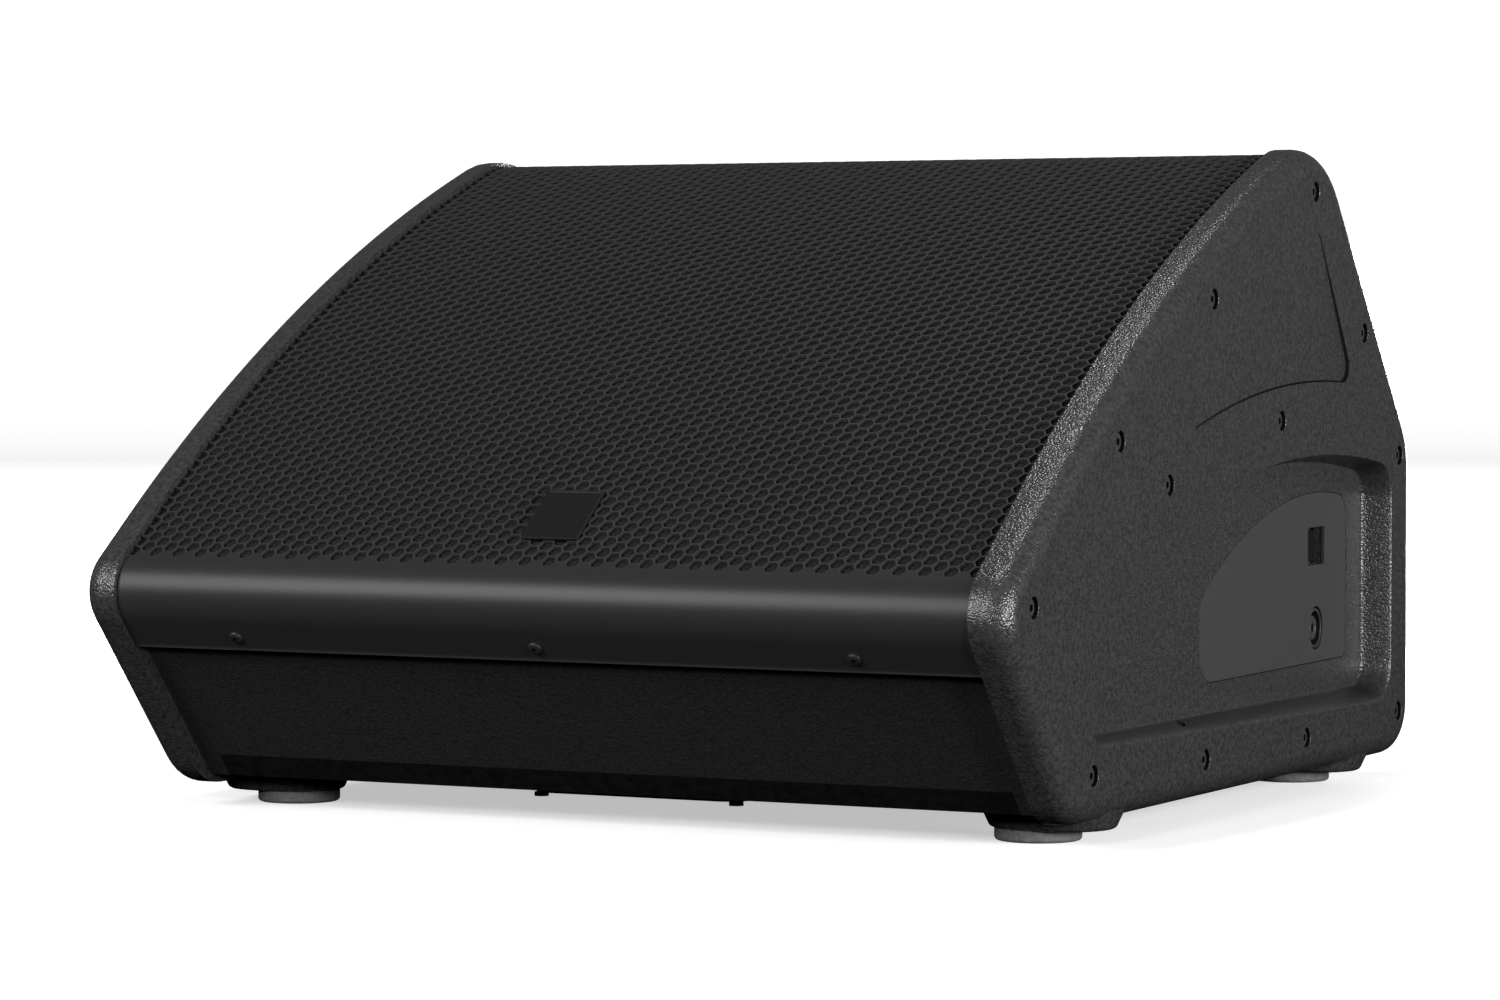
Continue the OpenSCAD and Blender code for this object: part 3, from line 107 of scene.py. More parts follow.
dress(zinc_steel, "top_plate", "pole_yoke", "foot_screws", "crossover_standoffs")
ferrite = surface("ferrite", (0.03, 0.03, 0.032), 0.6, 0.4, grain=350, depth=0.0002)
dress(ferrite, "magnet_ring")
horn_plastic = surface("horn_plastic", (0.015, 0.015, 0.016), 0.45, 0.4, grain=600, depth=0.00005)
dress(horn_plastic, "hf_horn", "hf_cover")
dome_foil = surface("dome_foil", (0.6, 0.61, 0.62), 0.25, metallic=1.0, grain=400, depth=0.00003, fleck=0.08)
dress(dome_foil, "hf_diaphragm")
black_steel = surface("black_steel", (0.014, 0.014, 0.01421), 0.45, 0.3, grain=900, depth=0.00003)
dress(black_steel, "driver_bolts", "handle_screws")

# Crossover: a glass-epoxy board on stand-offs inside the cabinet, with coils, film capacitors, cement
# resistors and sheathed leads to the sockets and the loudspeaker.
laminate = surface("laminate", (0.03, 0.13, 0.05), 0.4, grain=800, depth=0.00003)
dress(laminate, "crossover_board")
film_wrap = surface("film_wrap", (0.6, 0.38, 0.04), 0.3, grain=300, depth=0.00005, fleck=0.1)
dress(film_wrap, "crossover_capacitors")
cement = surface("cement", (0.7, 0.7, 0.66), 0.8, 0.3, grain=600, depth=0.0002, fleck=0.1)
dress(cement, "crossover_resistors")
sheath = surface("sheath", (0.02, 0.02, 0.02), 0.5, grain=300, depth=0.00005)
dress(sheath, "internal_leads")

# Grille: 1.5 mm steel sheet punched with 7 mm hexagons at 8 mm pitch, folded round the nose and over the
# crown, powder-coated dark grey; its plain flanges are screwed to the rails at the front and the back.
# It follows the outline of the end cheeks, (y, z, radius) at each corner from the rear foot upwards.
cheek_corners = [(288.0, 12.5, 30.0), (288.0, 193.4, 45.0), (141.4, 366.4, 62.0),
                 (-94.9, 282.7, 1245.0), (-298.9, 123.6, 25.0), (-204.4, 12.5, 35.0)]
SHOULDER, CROWN, KNEE, NOSE = 1, 2, 3, 4


def corner_arc(corners, i):
    """Centre, radius, first radial direction and turn of the arc that rounds corner i of a closed outline."""
    u, v, radius = corners[i]
    here = Vector((u, v))
    into = (here - Vector(corners[i - 1][:2])).normalized()
    away = (Vector(corners[(i + 1) % len(corners)][:2]) - here).normalized()
    turn = math.atan2(into.cross(away), into.dot(away))
    radius = math.copysign(radius, turn)
    side = Vector((into.y, -into.x))
    centre = here - into * (radius * math.tan(turn / 2)) - side * radius
    return centre, radius, side, turn


def arc_points(corners, i, inset, steps):
    """Points along the arc at corner i, moved inwards."""
    centre, radius, side, turn = corner_arc(corners, i)
    spokes = [Matrix.Rotation(turn * k / steps, 2) @ side for k in range(steps + 1)]
    return [centre + spoke * (radius - inset) for spoke in spokes]


def edge_place(i, along, inset):
    """A point on the cheek's edge from corner i to the next one, moved inwards, with the edge's direction."""
    here = Vector(cheek_corners[i][:2])
    way = Vector(cheek_corners[(i + 1) % len(cheek_corners)][:2]) - here
    if along < 0:
        along += way.length
    way.normalize()
    return here + way * along - Vector((way.y, -way.x)) * inset, way


grille_set = 2.5
front_end, rear_end = 44.7, -75.0
nose_steps = 40
grille_line = [edge_place(SHOULDER, rear_end, grille_set)[0]]
grille_line += arc_points(cheek_corners, CROWN, grille_set, 40)
grille_line += arc_points(cheek_corners, KNEE, grille_set, 60)
grille_line += arc_points(cheek_corners, NOSE, grille_set, nose_steps)
grille_line += [edge_place(NOSE, front_end, grille_set)[0]]
grille_line.reverse()
grille_run = [0.0]
for a, b in zip(grille_line, grille_line[1:]):
    grille_run.append(grille_run[-1] + (b - a).length)


def on_grille(s, depth=0.0):
    """Place on the folded line, s from the front flange's end, depth below the sheet's outer face."""
    s = min(max(s, 0.0), grille_run[-1])
    k = 0
    while grille_run[k + 1] < s and k < len(grille_run) - 2:
        k += 1
    way = grille_line[k + 1] - grille_line[k]
    share = (s - grille_run[k]) / way.length
    spot = grille_line[k] + way * share
    way.normalize()
    return spot + Vector((way.y, -way.x)) * depth


def only(kind, geom):
    """The vertices, the edges or the faces among an operator's results."""
    return [g for g in geom if isinstance(g, kind)]


def piece(bm, name, material, nodes, body="wedge", sharp=35.0, recalc=True):
    """Finishes a mesh drawn in millimetres: scaled, shaded, linked, and standing for its CAD nodes."""
    bmesh.ops.scale(bm, vec=(0.001, 0.001, 0.001), verts=bm.verts)
    if recalc:
        bmesh.ops.recalc_face_normals(bm, faces=bm.faces)
    for face in bm.faces:
        face.smooth = True
    for edge in bm.edges:
        if edge.is_boundary or edge.calc_face_angle(0.0) > math.radians(sharp):
            edge.smooth = False
    mesh = bpy.data.meshes.new(name)
    bm.to_mesh(mesh)
    bm.free()
    mesh.materials.append(material)
    made = bpy.data.objects.new(name, mesh)
    scene.collection.objects.link(made)
    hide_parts(*nodes)
    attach(made, body)
    return made


pitch, web = 8.0, 1.0
sheet_half = 244.0
fold_steps = 22
lip, lip_roll = 1.3, 0.6
rear_plain, rear_lip = 26.0, 12.0
column_gap = pitch * math.cos(math.radians(30))
nose_end = grille_run[nose_steps + 1]
punch_low = nose_end + 2.0
punch_high = grille_run[-1] - rear_plain
field_low, field_high = punch_low - web, punch_high + web
rows = math.ceil((punch_high - punch_low) / pitch) + 3
columns = 2 * math.ceil(sheet_half / column_gap)
bm = bmesh.new()
bmesh.ops.create_circle(bm, cap_ends=True, segments=6, radius=pitch / math.sqrt(3))
bmesh.ops.rotate(bm, matrix=Matrix.Rotation(math.radians(30), 3, "Z"), verts=bm.verts)
bmesh.ops.translate(bm, vec=(-columns // 2 * column_gap, punch_low - pitch, 0), verts=bm.verts)
cell = list(bm.faces)
for k in range(1, rows):
    copy = bmesh.ops.duplicate(bm, geom=cell)["geom"]
    bmesh.ops.translate(bm, vec=(0, pitch * k, 0), verts=only(BMVert, copy))
row = list(bm.faces)
for k in range(1, columns + 1):
    copy = bmesh.ops.duplicate(bm, geom=row)["geom"]
    step = (column_gap * k, pitch / 2 * (k % 2), 0)
    bmesh.ops.translate(bm, vec=step, verts=only(BMVert, copy))
bmesh.ops.remove_doubles(bm, verts=bm.verts, dist=0.05)
holes = [f for f in bm.faces if all(punch_low <= v.co.y <= punch_high for v in f.verts)]
webs = bmesh.ops.inset_individual(bm, faces=holes, thickness=web / 2, use_even_offset=True)["faces"]
# The webs take material 1, a lighter copy of the coat: painted light on the perforated field.
for face in webs:
    face.material_index = 1
bmesh.ops.delete(bm, geom=holes, context="FACES")
for place, way in (((-sheet_half, 0, 0), (-1, 0, 0)), ((sheet_half, 0, 0), (1, 0, 0)),
                   ((0, field_low, 0), (0, -1, 0)), ((0, field_high, 0), (0, 1, 0))):
    bmesh.ops.bisect_plane(bm, geom=bm.verts[:] + bm.edges[:] + bm.faces[:], dist=0.001,
                           plane_co=place, plane_no=way, clear_outer=True)
nose_stops = [nose_end - k * nose_end / fold_steps for k in range(fold_steps)] + [lip, lip / 2, 0.0]
rear_stops = [grille_run[-1] - rear_lip, grille_run[-1]]
for start, stops in ((field_low, nose_stops), (field_high, rear_stops)):
    front = [e for e in bm.edges if all(abs(v.co.y - start) < 0.01 for v in e.verts)]
    for stop in stops:
        front = only(BMEdge, bmesh.ops.extrude_edge_only(bm, edges=front)["geom"])
        for v in {v for e in front for v in e.verts}:
            v.co.y = stop
bmesh.ops.recalc_face_normals(bm, faces=bm.faces)
if bm.faces[:][0].normal.z < 0:
    bmesh.ops.reverse_faces(bm, faces=bm.faces)
for v in bm.verts:
    spot = on_grille(v.co.y, -lip_roll * max(0.0, 1 - v.co.y / lip) ** 2)
    v.co = (v.co.x, spot.x, spot.y)
grille_coat = surface("grille_coat", (0.0185, 0.0185, 0.01878), 0.37, 0.2, grain=1500, depth=0.00003,
                      fleck=0.15)
# lit_web: a lighter copy of the coat for the webs between the holes, painted light.
lit_web = surface("lit_web", (0.024, 0.024, 0.02436), 0.45, 0.2, grain=1500, depth=0.00003, fleck=0.2)
# hole_wall: a lighter, matt copy of the coat for the holes' walls and the sheet's back: painted light lifting
# the shade inside the holes.
hole_wall = surface("hole_wall", (0.026, 0.026, 0.0264), 0.8, 0.1, grain=900, depth=0.00003, fleck=0.2)
grille = piece(bm, "grille_sheet", grille_coat, ["grille"], recalc=False)
grille.data.materials.append(lit_web)
grille.data.materials.append(hole_wall)
sheet = grille.modifiers.new("sheet", "SOLIDIFY")
sheet.thickness = 0.0015
sheet.offset = -1.0
# The sheet's back and its cut edges take hole_wall, painted light.
sheet.material_offset = 2
sheet.material_offset_rim = 2

# Acoustic foam: a thin sheet of open-cell foam glued to the back of the perforation, so that it shows as a
# dull dark skin in every hole. It sags a little between the glue lines.
foam_half, foam_gap = 243.5, 1.6
foam_low, foam_high = nose_end + 3.0, grille_run[-1] - 75.0
sag_mean, sag_wave, sag_patch = 0.35, 0.3, 9
bm = bmesh.new()
bmesh.ops.create_grid(bm, x_segments=80, y_segments=70, size=1.0)
for v in bm.verts:
    x = v.co.x * foam_half
    s = foam_low + (foam_high - foam_low) * (v.co.y + 1) / 2
    sag = sag_mean + sag_wave * noise.noise(Vector((x, s, 0)) / sag_patch)
    spot = on_grille(s, foam_gap + sag)
    v.co = (x, spot.x, spot.y)
bmesh.ops.recalc_face_normals(bm, faces=bm.faces)
if sum(f.normal.z for f in bm.faces) < 0:
    bmesh.ops.reverse_faces(bm, faces=bm.faces)
open_foam = surface("open_foam", (0.0155, 0.0155, 0.01573), 0.95, 0.1, grain=900, depth=0.0008, fleck=0.6,
                    detail=4)
foam = piece(bm, "foam_sheet", open_foam, ["grille_foam"], recalc=False)
thick = foam.modifiers.new("thick", "SOLIDIFY")
thick.thickness = 0.004
thick.offset = -1.0

# Grille screws: six low domed socket screws of black-oxided steel, three through each plain flange of the
# grille into the rail behind it.


def spin_profile(bm, points, steps, closed=False):
    """Turns a profile of (radius, z) points once round the z axis."""
    profile = [bm.verts.new((r, 0, z)) for r, z in points]
    ends = profile[1:] + profile[:1] if closed else profile[1:]
    lines = [bm.edges.new(pair) for pair in zip(profile, ends)]
    bmesh.ops.spin(bm, geom=profile + lines, cent=(0, 0, 0), axis=(0, 0, 1), angle=math.tau, steps=steps,
                   use_merge=True)


def button_screw(bm, matrix, radius, height, key, shank, length, rim=0.3):
    """A domed socket-head screw standing on z = 0, head up and shank down, placed by the matrix."""
    old = set(bm.verts)
    crest_r = key * 1.3
    dome = [(crest_r + (radius - crest_r) * math.sin(t), height * (rim + (1 - rim) * math.cos(t)))
            for t in (math.radians(15 * k) for k in range(7))]
    spin_profile(bm, dome + [(radius, 0), (shank, 0), (shank, -length)], 24)
    ends = [e for e in bm.edges if e.is_boundary and e.verts[0] not in old]
    crest = [e for e in ends if e.verts[0].co.z > 0]
    tip = [e for e in ends if e.verts[0].co.z < 0]
    bmesh.ops.edgeloop_fill(bm, edges=tip)
    socket = bmesh.ops.create_circle(bm, segments=6, radius=key)["verts"]
    bmesh.ops.translate(bm, vec=(0, 0, height), verts=socket)
    mouth = list(dict.fromkeys(e for v in socket for e in v.link_edges))
    grown = bmesh.ops.extrude_edge_only(bm, edges=mouth)["geom"]
    floor = only(BMVert, grown)
    bmesh.ops.translate(bm, vec=(0, 0, -height * 0.65), verts=floor)
    floor_edges = [e for e in only(BMEdge, grown) if all(v in floor for v in e.verts)]
    bottom = bmesh.ops.edgeloop_fill(bm, edges=floor_edges)["faces"]
    # The socket's walls and floor take material 1, near-black: painted shade in the hex socket.
    for face in set(bottom) | {f for v in floor for f in v.link_faces}:
        face.material_index = 1
    bmesh.ops.triangle_fill(bm, use_beauty=True, edges=crest + mouth, normal=(0, 0, 1))
    bmesh.ops.transform(bm, matrix=matrix, verts=[v for v in bm.verts if v not in old])


def upright(place, out):
    """Turns +Z to the direction out, at a place."""
    return Matrix.Translation(place) @ Vector(out).to_track_quat("Z", "Y").to_matrix().to_4x4()


bm = bmesh.new()
for corner, along in ((NOSE, 36.0), (SHOULDER, -60.0)):
    spot, way = edge_place(corner, along, grille_set)
    for x in (-178.0, 0.0, 178.0):
        button_screw(bm, upright((x, spot.x, spot.y), (0, way.y, -way.x)),
                     radius=3.8, height=1.8, key=1.25, shank=2.0, length=12.0)
# key_shadow: a near-black finish for painted shade, in the hex sockets, the counterbore wells, the facet's
# groove, the drain and the sockets' hollows.
key_shadow = surface("key_shadow", (0.002, 0.002, 0.0021), 0.8, 0.1, grain=900, depth=0.00003)
heads = piece(bm, "grille_screw_set", black_steel, ["grille_screws"])
heads.data.materials.append(key_shadow)

# Badge plate: a small moulding of satin black plastic, stuck on the grille in the middle just above the
# nose. Its plain face is sunk inside a narrow raised border.
badge_size = (33.0, 38.0, 1.6)
badge_up = 67.0
bm = bmesh.new()
bmesh.ops.create_cube(bm, size=1.0)
bmesh.ops.scale(bm, vec=badge_size, verts=bm.verts)
bmesh.ops.translate(bm, vec=(0, 0, badge_size[2] / 2), verts=bm.verts)
posts = [e for e in bm.edges if abs(e.verts[0].co.z - e.verts[1].co.z) > 1]
bmesh.ops.bevel(bm, geom=posts, offset=2.0, segments=4, profile=0.5, affect="EDGES", material=-1)
top = [f for f in bm.faces if f.normal.z > 0.9]
bmesh.ops.inset_region(bm, faces=top, thickness=1.2)
bmesh.ops.inset_region(bm, faces=top, thickness=0.4, depth=-0.4)
crest = [e for e in bm.edges if all(v.co.z > 1.5 for v in e.verts) and len(e.link_faces) == 2
         and e.calc_face_angle(0.0) > math.radians(60)]
bmesh.ops.bevel(bm, geom=crest, offset=0.35, segments=3, profile=0.5, affect="EDGES", material=-1)
badge_foot = Vector(cheek_corners[NOSE][:2])
badge_way = (Vector(cheek_corners[KNEE][:2]) - badge_foot).normalized()
badge_out = Vector((-badge_way.y, badge_way.x))
badge_spot = badge_foot + badge_way * badge_up - badge_out * grille_set
turn = Matrix(((1, 0, 0), (0, badge_way.x, badge_out.x), (0, badge_way.y, badge_out.y))).to_4x4()
bmesh.ops.transform(bm, matrix=Matrix.Translation((0, badge_spot.x, badge_spot.y)) @ turn, verts=bm.verts)
badge_satin = surface("badge_satin", (0.004, 0.004, 0.0042), 0.5, 0.2, grain=900, depth=0.00003, fleck=0.1)
piece(bm, "badge", badge_satin, ["badge_plate"])

# End cheeks: thick mouldings of structural foam with a leathered grain, screwed over the cabinet's ends. Each
# holds a sunk connector tray under an arch, with a sill and a drain hole, a shallow slanted facet above it and
# two lugs for the feet. The sill and the wall under the arch carry painted shade, a darker tone in the grain.
# Outlines are (y, z, radius) at each corner.
face_x, back_x, edge_round = 266.0, 244.5, 12.5
recess_corners = [(-188.0, 53.0, 16.0), (253.0, 47.0, 20.0), (253.0, 179.0, 22.0),
                  (20.0, 208.6, 745.0), (-191.0, 113.2, 15.0)]
tray_front, tray_depth = -191.0, 4.0
pan_tilt = math.radians(1.6126)
pan_place = Matrix.Translation((face_x - tray_depth, tray_front, 0.0)) @ Matrix.Rotation(pan_tilt, 4, "Z")
wall_steps = ((0.07, 0.01), (0.13, 0.04), (0.19, 0.09), (0.26, 0.17), (0.4, 0.35), (0.6, 0.62),
              (0.74, 0.8), (0.82, 0.88), (0.9, 0.945), (0.97, 0.98), (1.06, 1.0))
sill_drop, sill_limit, sill_run = 3.2, 60.0, 5.8
sill_slope, arch_slope, rear_slope, front_slope = 0.2, 0.32, 0.45, 0.5
drain_x, drain_y, drain_wide, drain_long, drain_deep = 261.0, -57.0, 2.1, 3.7, 6.0
drain_patch, drain_rows = 5.0, range(3, 10)
plate_corners = [(169.2, 71.0, 18.0), (409.2, 71.0, 6.0), (409.2, 163.0, 14.0), (284.6, 174.0, 375.0),
                 (169.2, 115.7, 20.0)]
plate_t, plate_trim, seat_spare = 2.0, 0.2, 0.25
socket_y, socket_z, switch_z = 358.2, 90.0, 136.0
socket_half, socket_round, window_half = (12.3, 12.3), 12.29, (14.8, 10.8)
facet_tip, facet_top, facet_low = Vector((-64.0, 202.4)), Vector((130.4, 312.9)), Vector((189.0, 226.2))
facet_tilt, facet_arc = math.radians(1.25), 785.0
facet_steps = ((0.15, 0.1), (0.6, 0.75), (1.0, 1.0))
groove_from, groove_wide = 3.0, 1.3
arch_mid = Vector((135.0, -557.0))
screw_spots = [(265.5, 37.0), (265.5, 184.4), (126.7, 332.5), (-257.5, 124.2), (-183.2, 37.0), (-33.6, 33.0),
               (115.9, 33.0), (205.8, 254.8), (-150.1, 201.6), (-23.6, 273.1), (-84.6, 177.9), (75.8, 207.7)]
screw_seat, bore_r, well_x = 261.0, 5.9, 265.3
bore_steps = ((5.65, 265.85), (5.45, 265.5), (5.35, 265.0), (5.35, screw_seat))
lug_x, lug_half, lug_round = 228.0, (37.5, 29.5), 29.49
lug_steps = ((0.0, 17.5), (3.6, 9.6), (4.2, 8.3), (5.0, 7.3), (6.2, 6.7), (7.6, 6.5))
endwise = Matrix(((0, 0, 1, 0), (1, 0, 0, 0), (0, 1, 0, 0), (0, 0, 0, 1)))
on_face = Matrix.Translation((face_x, 0, 0)) @ endwise


def rounded_loop(bm, corners, grow=0.0, place=Matrix.Identity(4)):
    """A closed ring of vertices: the corners (u, v, radius) of an outline turned as arcs, then placed."""
    ring = []
    for i in range(len(corners)):
        centre, radius, side, turn = corner_arc(corners, i)
        spot = centre + side * (radius + grow)
        steps = max(math.ceil(abs(math.degrees(turn)) / 9), math.ceil(abs(radius * turn) / 10), 3)
        vert = bm.verts.new((spot.x, spot.y, 0))
        bmesh.ops.spin(bm, geom=[vert], cent=(centre.x, centre.y, 0), axis=(0, 0, 1), angle=turn, steps=steps)
        arc = [vert]
        while len(arc) <= steps:
            near = [e.other_vert(arc[-1]) for e in arc[-1].link_edges]
            arc.append(next(v for v in near if v not in arc))
        if ring:
            bm.edges.new((ring[-1], arc[0]))
        ring += arc
    bm.edges.new((ring[-1], ring[0]))
    bmesh.ops.transform(bm, matrix=place, verts=ring)
    return ring


def box_corners(u, v, half, radius):
    """The corners of an upright rectangle about (u, v), rounded."""
    return [(u - half[0], v - half[1], radius), (u + half[0], v - half[1], radius),
            (u + half[0], v + half[1], radius), (u - half[0], v + half[1], radius)]


def ring_edges(bm, ring):
    """The edges of a closed ring of vertices, in order."""
    return [bm.edges.get(pair) for pair in zip(ring, ring[1:] + ring[:1])]


def next_ring(bm, ring):
    """A second ring joined to the first by a band of faces; it lies on the first until it is moved."""
    grown = bmesh.ops.extrude_edge_only(bm, edges=ring_edges(bm, ring))["geom"]
    new = set(only(BMVert, grown))
    return [next(e.other_vert(v) for e in v.link_edges if e.other_vert(v) in new) for v in ring]


def inward(ring):
    """Unit directions across the ring, into the area that it encloses, in the Y-Z plane."""
    ways = []
    for i, v in enumerate(ring):
        along = ring[(i + 1) % len(ring)].co - ring[i - 1].co
        ways.append(Vector((0, -along.z, along.y)).normalized())
    return ways


def tray_x(y, share=1.0):
    """Height of the cheek's face over the tray at y: share 0 is the outer face and 1 the tilted floor."""
    return face_x - share * (tray_depth + (y - tray_front) * math.tan(pan_tilt))


def fill(bm, edges, normal):
    """Closes the area between rings of edges with triangles."""
    bmesh.ops.triangle_fill(bm, use_beauty=True, edges=edges, normal=normal)


def cheek_block(bm):
    """The slab with its rounded outer edge; gives its back ring and the edges round its open outer face."""
    outline = rounded_loop(bm, cheek_corners, 0, Matrix.Translation((back_x, 0, 0)) @ endwise)
    back = bm.faces.new(outline)
    cap = only(BMFace, bmesh.ops.extrude_face_region(bm, geom=[back])["geom"])[0]
    bmesh.ops.translate(bm, vec=(face_x - back_x, 0, 0), verts=cap.verts)
    if back.is_valid:
        bmesh.ops.delete(bm, geom=[back], context="FACES_ONLY")
    bmesh.ops.bevel(bm, geom=cap.edges[:], offset=edge_round, segments=8, profile=0.5, affect="EDGES",
                    material=-1)
    cap = max(bm.faces, key=lambda f: f.calc_center_median().x if abs(f.normal.x) > 0.99 else 0)
    face_edges = cap.edges[:]
    bmesh.ops.delete(bm, geom=[cap], context="FACES_ONLY")
    return outline, face_edges


def sink_tray(bm, skin):
    """The tray's walls, ring by ring from the outer face to the floor, and the ring's place at the drain.
    The skin layer carries painted shade, a darker tone, on the sill and under the arch."""
    tray = rounded_loop(bm, recess_corners, 0, on_face)
    for y in (drain_y - drain_patch, drain_y + drain_patch):
        at = next(k for k, v in enumerate(tray) if v.co.z < sill_limit and v.co.y < y < tray[k + 1].co.y)
        share = (y - tray[at].co.y) / (tray[at + 1].co.y - tray[at].co.y)
        split = bmesh.utils.edge_split(bm.edges.get(tray[at:at + 2]), tray[at], share)
        tray.insert(at + 1, split[1])
    ways = inward(tray)
    for v, way in zip(tray, ways):
        v.co.z -= sill_drop * max(way.z, 0) ** 2
    rim = [v.co.copy() for v in tray]
    rings = [tray]
    for along, down in wall_steps:
        rings.append(next_ring(bm, rings[-1]))
        for v, edge, way in zip(rings[-1], rim, ways):
            sill, arch = max(way.z, 0) ** 2, max(-way.z, 0) ** 2
            rear, front = max(-way.y, 0) ** 2, max(way.y, 0) ** 2
            depth = face_x - tray_x(edge.y)
            run = (sill_run + sill_slope * depth) * sill
            run += depth * (arch_slope * arch + rear_slope * rear + front_slope * front)
            v.co = edge + way * (along * run)
            round_over = min(along, 1.0) ** 1.6 - down
            v.co.x = tray_x(v.co.y, down + round_over * sill)
            on_sill = min(max((along - 0.15) / 0.4, 0), 1)
            # Painted shade: the skin layer darkens the sill's slope and the wall under the arch.
            v[skin] = on_sill * sill + along * max(-way.z, 0) if along < 1 else 0.0
    return rings, at


def bore_drain(bm, skin, rings, at):
    """An oval hole let down into the slope of the sill, in the column of faces that starts at a place."""
    slope = [(ring[at].co.lerp(ring[at + 1].co, 0.5), ring[at][skin]) for ring in rings]
    patch = [f for k in drain_rows for f in rings[k][at].link_faces if rings[k + 1][at + 1] in f.verts]
    border = [e for e in dict.fromkeys(e for f in patch for e in f.edges)
              if sum(f in patch for f in e.link_faces) == 1]
    bmesh.ops.delete(bm, geom=patch, context="FACES")
    ring = bmesh.ops.create_circle(bm, segments=20, radius=1.0)["verts"]
    bmesh.ops.scale(bm, vec=(drain_wide, drain_long, 1), verts=ring)
    bmesh.ops.translate(bm, vec=(drain_x, drain_y, 0), verts=ring)
    for v in ring:
        (a, tone_a), (b, tone_b) = next((one, two) for one, two in zip(slope, slope[1:])
                                        if one[0].x >= v.co.x > two[0].x)
        share = (a.x - v.co.x) / (a.x - b.x)
        v.co.z = a.z + (b.z - a.z) * share
        # The drain's ring carries on the painted shade of the slope around it.
        v[skin] = tone_a + (tone_b - tone_a) * share
    fill(bm, border + ring_edges(bm, ring), (0.7, 0, 0.7))
    ring = next_ring(bm, ring)
    bmesh.ops.translate(bm, vec=(0, 0, -drain_deep), verts=ring)
    # The drain's walls and floor take the near-black key_shadow: painted shade in the hole.
    for face in {f for v in ring for f in v.link_faces} | {bm.faces.new(ring)}:
        face.material_index = 1


def seat_plate(bm, floor_edges, outline, with_switch):
    """The tray's floor with the plate's seat in it, and openings through the seat to the cheek's back."""
    pocket = rounded_loop(bm, plate_corners, seat_spare, pan_place @ endwise)
    fill(bm, floor_edges + ring_edges(bm, pocket), (1, 0, 0))
    ring = next_ring(bm, pocket)
    bmesh.ops.translate(bm, vec=pan_place.to_3x3() @ Vector((-plate_t, 0, 0)), verts=ring)
    seat_edges = ring_edges(bm, ring)
    back_edges = ring_edges(bm, outline)
    openings = [box_corners(socket_y, socket_z, socket_half, socket_round)]
    if with_switch:
        openings.append(box_corners(socket_y, switch_z, window_half, 1.0))
    for corners in openings:
        ring = rounded_loop(bm, corners, 0, pan_place @ Matrix.Translation((-plate_t, 0, 0)) @ endwise)
        seat_edges += ring_edges(bm, ring)
        ring = next_ring(bm, ring)
        for v in ring:
            v.co.x = back_x
        back_edges += ring_edges(bm, ring)
    fill(bm, seat_edges, (1, 0, 0))
    fill(bm, back_edges, (-1, 0, 0))


def sink_facet(bm):
    """The slanted facet, hinged on its upper edge, with a painted shadow line along its deep edges; gives its
    rim.
    """
    swing = [(p - arch_mid).orthogonal() for p in (facet_tip, facet_low)]
    share = (facet_low - facet_tip).cross(swing[1]) / swing[0].cross(swing[1])
    knee = facet_tip + swing[0] * share
    corners = [(*facet_tip, 2.0), (*knee, facet_arc), (*facet_low, 9.0), (*facet_top, 8.0)]
    ring = rounded_loop(bm, corners, 0, on_face)
    rim_edges = ring_edges(bm, ring)
    ways = inward(ring)
    rim = [v.co.copy() for v in ring]
    hinge = (facet_top - facet_tip).normalized()
    rear = (facet_low - facet_top).normalized()
    for step, share in facet_steps:
        ring = next_ring(bm, ring)
        for v, edge, way in zip(ring, rim, ways):
            v.co = edge + way * step
            fall = hinge.cross(v.co.yz - facet_tip)
            v.co.x = face_x - max(-fall, 0) * math.tan(facet_tilt) * share
        # A thin band along the deep edges takes the near-black key_shadow: a painted shadow line standing for
        # the groove.
        for face in {f for e in ring_edges(bm, ring) for f in e.link_faces}:
            spot = face.calc_center_median().yz
            off_rear, off_hinge = rear.cross(spot - facet_top), hinge.cross(spot - facet_tip)
            if off_hinge < -groove_from and (step < 0.5 or abs(off_rear) < groove_wide):
                face.material_index = 1
    fill(bm, ring_edges(bm, ring), (1, 0, 0))
    return rim_edges


def sink_screw(bm, y, z):
    """One counterbore with a rounded rim and painted shade, in near-black, down its well; gives the rim's
    edges.
    """
    ring = bmesh.ops.create_circle(bm, segments=28, radius=bore_r)["verts"]
    bmesh.ops.transform(bm, matrix=Matrix.Translation((face_x, y, z)) @ endwise, verts=ring)
    rim_edges = ring_edges(bm, ring)
    for radius, x in bore_steps:
        wide = (ring[0].co - Vector((ring[0].co.x, y, z))).length
        ring = next_ring(bm, ring)
        for v in ring:
            v.co = (x, y + (v.co.y - y) * radius / wide, z + (v.co.z - z) * radius / wide)
        # Below the rim the well takes key_shadow: painted shade round the screw head.
        if x < well_x:
            for face in {f for e in ring_edges(bm, ring) for f in e.link_faces}:
                face.material_index = 1
    bm.faces.new(ring).material_index = 1
    return rim_edges


def add_lug(bm, y):
    """A tapered boss with a rounded lower edge, for one foot."""
    corners = box_corners(0, 0, lug_half, lug_round)
    rings = [rounded_loop(bm, corners, -draft, Matrix.Translation((lug_x, y, z))) for draft, z in lug_steps]
    for upper, lower in zip(rings, rings[1:]):
        bmesh.ops.bridge_loops(bm, edges=ring_edges(bm, upper) + ring_edges(bm, lower))
    bm.faces.new(rings[0])
    bm.faces.new(rings[-1])


